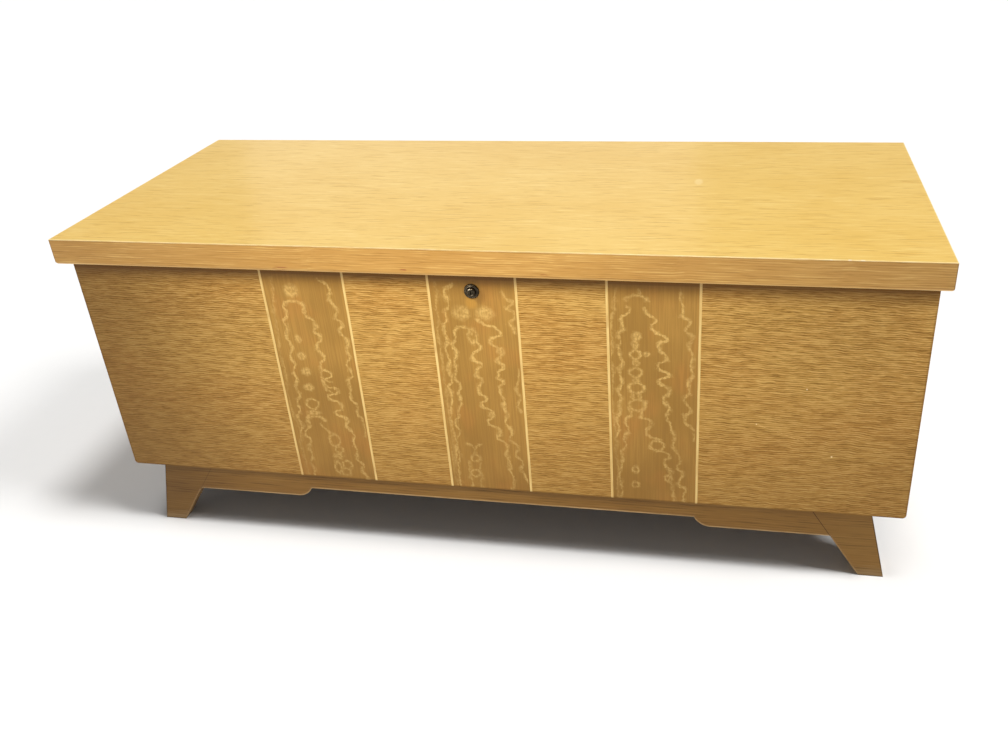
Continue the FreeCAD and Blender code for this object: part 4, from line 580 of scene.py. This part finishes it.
def bandFinish():
    finish, shader, place = startFinish("figuredVeneer")
    x, y, z = place.parts()
    tall = bandHigh.z - bandLow.z
    look = bandLook
    sideways = place.noise((170, 1, 150), *look["wobbleNoise"], (6, 0, 4)) - 0.5
    upward = place.noise((150, 1, 160), *look["wobbleNoise"], (2, 0, 9)) - 0.5
    up = z + upward * look["wobble"] - bandLow.z
    height = up / tall
    thick = place.noise((90, 5, 80), 1.0, 0.5, (5, 2, 1)).step(0.36, 0.64)
    swell = look["swell"][0] - thick * look["swell"][1]
    figure = None
    for step, shapes in bandFigures.items():
        side = x + sideways * look["wobble"] - step * look["pitch"]
        across = side / look["wide"] + 0.5
        pale = lineMark(across, height, tall, swell, *shapes["lines"][0])
        for line in shapes["lines"][1:]:
            pale = pale.most(lineMark(across, height, tall, swell, *line))
        for ring in shapes["rings"]:
            pale = pale.most(ringMark(side, up, *ring))
        within = (x - step * look["pitch"]).size().step(look["inside"] / 2, look["inside"] / 2 - 0.0001)
        pale = pale * within
        figure = pale if figure is None else figure + pale
    hair = place.noise((640, 40, 16), 3.0, 0.6)
    beads = place.noise((300, 10, 260), 2.0, 0.5, (3, 1, 1))
    patch = place.noise((34, 10, 30), 2.0, 0.5, (1, 4, 2))
    cloud = place.noise((16, 3, 9), 2.0, 0.5, (6, 1, 3))
    warm = place.noise((24, 5, 15), 2.0, 0.5, (8, 3, 5))
    ground = cloud.step(0.35, 0.65).mix(look["ground"] + (1,), look["groundTwo"] + (1,))
    ground = (warm.step(0.5, 0.68) * look["warmShare"]).mix(ground, look["warm"] + (1,))
    colour = (hair.step(0.62, 0.38) * look["hairShare"]).mix(ground, look["hair"] + (1,))
    strength = figure * (look["patches"] + (1 - look["patches"]) * patch.step(0.32, 0.58))
    strength = strength * (look["beading"] + (1 - look["beading"]) * beads.step(0.38, 0.56))
    strength = strength * (look["combing"] + (1 - look["combing"]) * hair.step(0.42, 0.56))
    colour = strength.mix(colour, look["line"] + (1,))
    # rubbed finish below the lock, and the lock's painted shadow to its right
    for markX, markZ, radiusX, radiusZ, share, patina in look["lockWearAndShadow"]:
        rubAndPaintedLight = (ellipse(x, z, markX, markZ, radiusX, radiusZ) + (hair - 0.5) * 1.5).step(1.7, 0.1)
        colour = (rubAndPaintedLight * share * (0.5 + hair)).mix(colour, patina + (1,))
    # the case's painted shade close under the lid and towards the foot
    colour = caseShade(x, y, z, hair, colour)
    rough = look["rough"] + (hair - 0.5) * 0.12
    # the figure stays out of the bump: the two together overfill the renderer's shader stack
    endFinish(shader, look["gloss"], colour, rough, hair, look["depth"])
    return finish


paint(bandFinish(), "front_band_veneers")


stringLook = {
    "wood": tone(226, 184, 102), "woodTwo": tone(244, 210, 132), "dull": tone(204, 158, 84),
    "dullShare": 0.6, "caseShare": 0.55, "rough": 0.38, "depth": 0.00005,
    "gloss": {"Coat Weight": 0.35, "Coat Roughness": 0.22, "Specular IOR Level": 0.35},
}


def stringFinish():
    look = stringLook
    finish, shader, place = startFinish("paleString")
    x, y, z = place.parts()
    grain = place.noise((500, 20, 22), 3.0, 0.6)
    wear = place.noise((60, 8, 30), 2.0, 0.5, (2, 2, 2))
    colour = grain.step(0.3, 0.7).mix(look["wood"] + (1,), look["woodTwo"] + (1,))
    colour = (wear.step(0.50, 0.72) * look["dullShare"]).mix(colour, look["dull"] + (1,))
    # the case's painted shade, weaker on the strings
    colour = caseShade(x, y, z, grain, colour, look["caseShare"])
    endFinish(shader, look["gloss"], colour, look["rough"] + (grain - 0.5) * 0.1, grain, look["depth"])
    return finish


paint(stringFinish(), "front_string_inlays")
print("bands and strings done")


# cedar, bare boards and felt inside
cedarLook = {
    "early": tone(204, 148, 102), "late": tone(172, 106, 70), "fine": tone(214, 156, 108),
    "knot": tone(96, 48, 30),
    "fineShare": 0.4, "knotShare": 0.8, "knotScale": (6, 9, 9), "knotSize": (0.16, 0.05),
    "rough": 0.66, "depth": 0.00015, "gloss": {"Specular IOR Level": 0.25},
}


# rings are a sine of a stretched noise; knots are the middles of Voronoi cells
def cedarFinish(name, grain, shift):
    look = cedarLook
    finish, shader, place = startFinish(name)
    order = {"x": (3, 60, 60), "y": (60, 3, 60)}[grain]
    sway = place.noise(tuple(scale * 0.35 for scale in order), 2.0, 0.5, shift)
    rings = (place.noise(order, 2.0, 0.45, shift) * 14 + sway * 5).wave() * 0.5 + 0.5
    fine = place.noise(tuple(scale * 9 for scale in order), 3.0, 0.6, shift)
    moved = place.node("ShaderNodeMapping", {},
                       {"Vector": place, "Scale": look["knotScale"], "Location": shift})
    knots = place.node("ShaderNodeTexVoronoi", {"feature": "SMOOTH_F1"},
                       {"Vector": moved, "Scale": 1.0}, "Distance")
    colour = rings.mix(look["early"] + (1,), look["late"] + (1,))
    colour = (fine.step(0.3, 0.7) * look["fineShare"]).mix(colour, look["fine"] + (1,))
    colour = (knots.step(*look["knotSize"]) * look["knotShare"]).mix(colour, look["knot"] + (1,))
    rough = look["rough"] + (fine - 0.5) * 0.2
    endFinish(shader, look["gloss"], colour, rough, rings * 0.3 + fine, look["depth"])
    return finish


paint(cedarFinish("cedarLong", "x", (1, 2, 3)),
      "cedar_floor", "cedar_front", "cedar_back", "lid_cedar_boards")
paint(cedarFinish("cedarEnd", "y", (4, 1, 7)), "cedar_left", "cedar_right")


boardLook = {
    "pale": tone(196, 164, 118), "dull": tone(168, 134, 90), "sawn": tone(136, 104, 66),
    "sawShare": 0.35, "rough": 0.72, "depth": 0.0002, "gloss": {"Specular IOR Level": 0.25},
}
darkBoardLook = {**boardLook, "pale": tone(92, 72, 48), "dull": tone(72, 54, 34), "sawn": tone(54, 40, 25)}


def coreFinish(name, look):
    finish, shader, place = startFinish(name)
    grain = place.noise((12, 260, 260), 3.0, 0.6)
    saw = place.noise((160, 160, 14), 2.0, 0.5)
    colour = grain.step(0.3, 0.7).mix(look["pale"] + (1,), look["dull"] + (1,))
    colour = (saw.step(0.55, 0.75) * look["sawShare"]).mix(colour, look["sawn"] + (1,))
    rough = look["rough"] + (grain - 0.5) * 0.15
    endFinish(shader, look["gloss"], colour, rough, grain + saw * 0.4, look["depth"])
    return finish


paint(coreFinish("bareBoard", boardLook),
      "front_core", "back_core", "left_end_core", "right_end_core", "corner_splines", "lid_panel")
paint(coreFinish("darkenedBoard", darkBoardLook), "bottom_board", "corner_blocks", "base_cleats")

feltLook = {"nap": tone(92, 62, 40), "napTwo": tone(60, 38, 24), "rough": 0.9, "depth": 0.0003,
            "gloss": {"Specular IOR Level": 0.1}}


def feltFinish():
    look = feltLook
    finish, shader, place = startFinish("brownFelt")
    nap = place.noise((1800, 1800, 1800), 3.0, 0.7)
    colour = nap.step(0.3, 0.7).mix(look["nap"] + (1,), look["napTwo"] + (1,))
    endFinish(shader, look["gloss"], colour, look["rough"] + (nap - 0.5) * 0.1, nap, look["depth"])
    return finish


paint(feltFinish(), "lid_bumpers")
print("inside done")


# metal: brushed lines, a little tarnish in patches
def metalFinish(name, look):
    finish, shader, place = startFinish(name)
    brush = place.noise(look["brush"], 3.0, 0.6)
    patch = place.noise((90, 90, 90), 3.0, 0.6, look["shift"])
    pits = place.noise((900, 900, 900), 2.0, 0.5)
    colour = brush.step(0.3, 0.7).mix(look["metal"] + (1,), look["shade"] + (1,))
    colour = (patch.step(*look["tarnishRange"]) * look["tarnishShare"]).mix(colour, look["tarnish"] + (1,))
    rough = look["rough"] + (brush - 0.5) * 0.16 + patch.step(*look["tarnishRange"]) * 0.18
    endFinish(shader, {"Metallic": 1.0}, colour, rough, brush * 0.5 + pits * 0.5, look["depth"])
    return finish


brassLook = {"metal": tone(214, 176, 102), "shade": tone(190, 148, 78), "tarnish": tone(120, 88, 48),
             "brush": (30, 500, 500), "shift": (1, 1, 1), "tarnishRange": (0.5, 0.72), "tarnishShare": 0.6,
             "rough": 0.30, "depth": 0.00003}
steelLook = {**brassLook, "metal": tone(196, 194, 186), "shade": tone(168, 166, 158),
             "tarnish": tone(120, 112, 98), "tarnishShare": 0.28, "brush": (500, 30, 40), "rough": 0.34}
screwLook = {**steelLook, "metal": tone(180, 176, 166), "shade": tone(150, 146, 136), "rough": 0.36}
springLook = {**steelLook, "metal": tone(172, 172, 172), "shade": tone(140, 140, 142), "rough": 0.28}
bronzeLook = {**brassLook, "metal": tone(92, 84, 70), "shade": tone(56, 48, 36),
              "tarnish": tone(26, 19, 12), "brush": (260, 260, 260), "tarnishRange": (0.42, 0.62),
              "rough": 0.27, "depth": 0.00001}
plugLook = {**brassLook, "metal": tone(72, 64, 50), "shade": tone(48, 42, 32),
            "tarnish": tone(24, 19, 13), "brush": (300, 300, 300), "rough": 0.32}

paint(metalFinish("hingeBrass", brassLook), "hinge_case_leaves", "hinge_lid_leaves", "hinge_pins")
paint(metalFinish("platedSteel", steelLook), "left_stay_arm", "right_stay_arm", "stay_stud_plates",
      "stay_lid_brackets", "stay_pivot_rivets", "strike_plate", "lock_case", "lock_cover", "lock_bolt")
paint(metalFinish("screwSteel", screwLook), "base_screws", "hinge_case_screws", "stay_and_lock_screws",
      "hinge_lid_screws", "bracket_and_strike_screws")
paint(metalFinish("springWire", springLook), "button_spring")
paint(metalFinish("plugBrass", plugLook), "key_plug")

# outlines of the lock's two turned pieces: (radius, depth behind the piece's front), millimetres
lock = {
    "rounds": 128,
    "sharp": 35,        # degrees between faces from which an edge stays sharp
    "ring": [(5.86, 0.45), (6.0, 0.2), (6.3, 0.03), (6.7, 0.0), (7.05, 0.06), (7.3, 0.3), (7.6, 0.36),
             (7.9, 0.26), (8.2, 0.1), (8.5, 0.12), (8.85, 0.32), (9.15, 0.68), (9.38, 1.15), (9.5, 1.75),
             (9.5, 2.6), (8.0, 2.6), (8.0, 7.6), (5.86, 7.6)],
    "button": [(3.26, 0.34), (3.36, 0.12), (3.6, 0.0), (4.0, 0.07), (4.4, 0.25), (4.8, 0.52), (5.15, 0.88),
               (5.45, 1.35), (5.66, 1.9), (5.78, 2.6), (5.8, 3.3), (5.8, 4.4), (4.6, 4.4), (4.6, 12.1),
               (7.4, 12.1), (7.4, 13.1), (3.26, 13.1)],
}


# x = r cos t, z = middle + r sin t, y = front + depth: the closed outline (r, depth) turned round
# the lock's axis, with soft shading except at sharp edges
def turned(name, node, body, outline, finish):
    low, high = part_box(node)
    ring = np.array(outline) / 1000
    steps = len(ring)
    angle = np.linspace(0, 2 * math.pi, lock["rounds"], endpoint=False)[:, None]
    points = np.stack([ring[:, 0] * np.cos(angle), low.y + ring[:, 1] + 0 * angle,
                       (low.z + high.z) / 2 + ring[:, 0] * np.sin(angle)], -1).reshape(-1, 3)
    turn, along = np.meshgrid(np.arange(lock["rounds"]), np.arange(steps), indexing="ij")
    after, beyond = (turn + 1) % lock["rounds"], (along + 1) % steps
    faces = np.stack([turn * steps + along, after * steps + along, after * steps + beyond,
                      turn * steps + beyond], -1).reshape(-1, 4)
    mesh = bpy.data.meshes.new(name)
    mesh.from_pydata(points.tolist(), [], faces.tolist())
    mesh.shade_smooth()
    mesh.set_sharp_from_angle(angle=math.radians(lock["sharp"]))
    mesh.materials.append(finish)
    piece = bpy.data.objects.new(name, mesh)
    scene.collection.objects.link(piece)
    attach(piece, body)
    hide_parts(node)
    return piece


bronze = metalFinish("darkBronze", bronzeLook)
lockPieces = [turned("lock_ring", "lock_collar", "case", lock["ring"], bronze),
              turned("push_button", "lock_button", "button", lock["button"], bronze)]
print("metal and lock done")


# floor, lights, camera
room = {
    "floorHalf": 14.0, "floorCells": 14,
    "floorTone": (0.82, 0.82, 0.82), "floorDull": 0.985, "floorRough": 0.8,
    "horizon": (0.70, 0.70, 0.70), "sky": (0.14, 0.14, 0.14),
    "skyRise": (0.10, 0.32),        # between which heights the horizon turns into the sky, as sines
    "suns": {
        # direction it comes from, strength, softness in degrees, colour
        "rightSun": ((0.40, -0.08, 1.0), 1.9, 12, (1.0, 0.995, 0.98)),
        "lowSun": ((1.0, -0.12, 1.0), 1.35, 14, (1.0, 0.995, 0.98)),
        "topSun": ((-0.03, -0.10, 1.0), 0.85, 10, (1.0, 0.995, 0.98)),
    },
    "lights": {
        # place, aim, sides, watts, spread in degrees, colour
        "front": ((0.04, -0.95, 1.25), (-0.06, -0.2, 0.36), (0.45, 0.3), 1.26, 56, (1.0, 0.99, 0.95)),
        "sheen": ((-0.85, 2.7, 1.5), (-0.2, 0.0, 0.46), (2.0, 1.2), 2.6, 180, (1.0, 1.0, 1.0)),
        "glint": ((-0.89, -1.25, 0.96), (0.0, -0.2, 0.403), (0.9, 0.8), 6.5, 60, (1.0, 1.0, 1.0)),
    },
}


# a flat square grid of cells
def makeFloor():
    half, cells = room["floorHalf"], room["floorCells"]
    row = cells + 1
    across = np.linspace(-half, half, row)
    gridX, gridY = np.meshgrid(across, across, indexing="ij")
    points = np.stack([gridX, gridY, np.zeros_like(gridX)], -1).reshape(-1, 3)
    start = (np.arange(cells)[:, None] * row + np.arange(cells)).ravel()
    faces = np.stack([start, start + row, start + row + 1, start + 1], 1)
    mesh = bpy.data.meshes.new("floor")
    mesh.from_pydata(points.tolist(), [], faces.tolist())
    floor = bpy.data.objects.new("floor", mesh)
    scene.collection.objects.link(floor)
    finish, shader, place = startFinish("paleFloor")
    speck = place.noise((40, 40, 40), 3.0, 0.5)
    dull = tuple(room["floorDull"] * channel for channel in room["floorTone"])
    colour = speck.mix(room["floorTone"] + (1,), dull + (1,))
    endFinish(shader, {"Specular IOR Level": 0.1}, colour, room["floorRough"] + (speck - 0.5) * 0.05)
    mesh.materials.append(finish)
    return floor


# turn whose local +Z points along back, and so whose light shines the other way
def facing(back):
    back = back / np.linalg.norm(back)
    right = np.cross((0, 0, 1), back)
    right = right / np.linalg.norm(right)
    return Matrix(np.stack([right, np.cross(back, right), back], 1).tolist())


def makeLight(name, place, aim, sides, watts, spread, colour):
    lamp = bpy.data.lights.new(name, "AREA")
    lamp.shape = "RECTANGLE"
    lamp.size, lamp.size_y = sides
    lamp.energy = watts
    lamp.spread = math.radians(spread)
    lamp.color = colour
    light = bpy.data.objects.new(name, lamp)
    scene.collection.objects.link(light)
    turn = facing(np.array(place) - np.array(aim)).to_4x4()
    light.matrix_world = Matrix.Translation(place) @ turn
    return light


def makeSun(name, source, strength, softness, colour):
    lamp = bpy.data.lights.new(name, "SUN")
    lamp.energy = strength
    lamp.angle = math.radians(softness)
    lamp.color = colour
    light = bpy.data.objects.new(name, lamp)
    scene.collection.objects.link(light)
    light.matrix_world = facing(np.array(source)).to_4x4()


def makeSky():
    sky = bpy.data.worlds.new("paleSky")
    sky.use_nodes = True
    shader = sky.node_tree.nodes["Background"]
    upward = sky.node_tree.nodes.new("ShaderNodeTexCoord").outputs["Generated"]
    height = Value(sky.node_tree, upward).parts()[2]
    colour = height.step(*room["skyRise"]).mix(room["horizon"] + (1,), room["sky"] + (1,))
    sky.node_tree.links.new(colour.socket, shader.inputs["Color"])
    scene.world = sky


# keeps a lamp off some pieces (EXCLUDE) or for them alone (INCLUDE)
def flag(light, pieces, state):
    group = bpy.data.collections.new(light.name + "Reach")
    for piece in pieces:
        group.objects.link(piece)
    for entry in group.collection_objects:
        entry.light_linking.link_state = state
    light.light_linking.receiver_collection = group


floor = makeFloor()
for sunName, facts in room["suns"].items():
    makeSun(sunName, *facts)
lights = {name: makeLight(name, *facts) for name, facts in room["lights"].items()}
flag(lights["front"], [floor, nodes["lid_top_veneer"]], "EXCLUDE")
flag(lights["sheen"], [floor], "EXCLUDE")
flag(lights["glint"], lockPieces, "INCLUDE")
makeSky()
scene.view_settings.view_transform = "Standard"

eye = {
    "place": (0.31576, -1.20809, 0.88439),
    "turn": (0.492379042, 0.189846818, -0.00363409521),   # rotation vector from a level camera facing +Y
    "lens": 33.895, "sensor": 36, "shift": (-0.0546, -0.0370), "far": 100,
}


def makeCamera():
    # Rodrigues: R = 1 + sin(a) K + (1 - cos(a)) K K, K the cross matrix of the unit axis
    vector = np.array(eye["turn"])
    angle = np.linalg.norm(vector)
    a, b, c = vector / angle
    cross = np.array([[0, -c, b], [c, 0, -a], [-b, a, 0]])
    turn = np.eye(3) + math.sin(angle) * cross + (1 - math.cos(angle)) * cross @ cross
    rows = turn @ np.array([[1, 0, 0], [0, 0, -1], [0, 1, 0]])      # right, down, forward
    data = bpy.data.cameras.new("camera")
    data.lens, data.sensor_width = eye["lens"], eye["sensor"]
    data.shift_x, data.shift_y = eye["shift"]
    data.clip_end = eye["far"]
    camera = bpy.data.objects.new("camera", data)
    scene.collection.objects.link(camera)
    axes = np.stack([rows[0], -rows[1], -rows[2]], 1)
    camera.matrix_world = Matrix.Translation(eye["place"]) @ Matrix(axes.tolist()).to_4x4()
    scene.camera = camera


makeCamera()
print("room done")
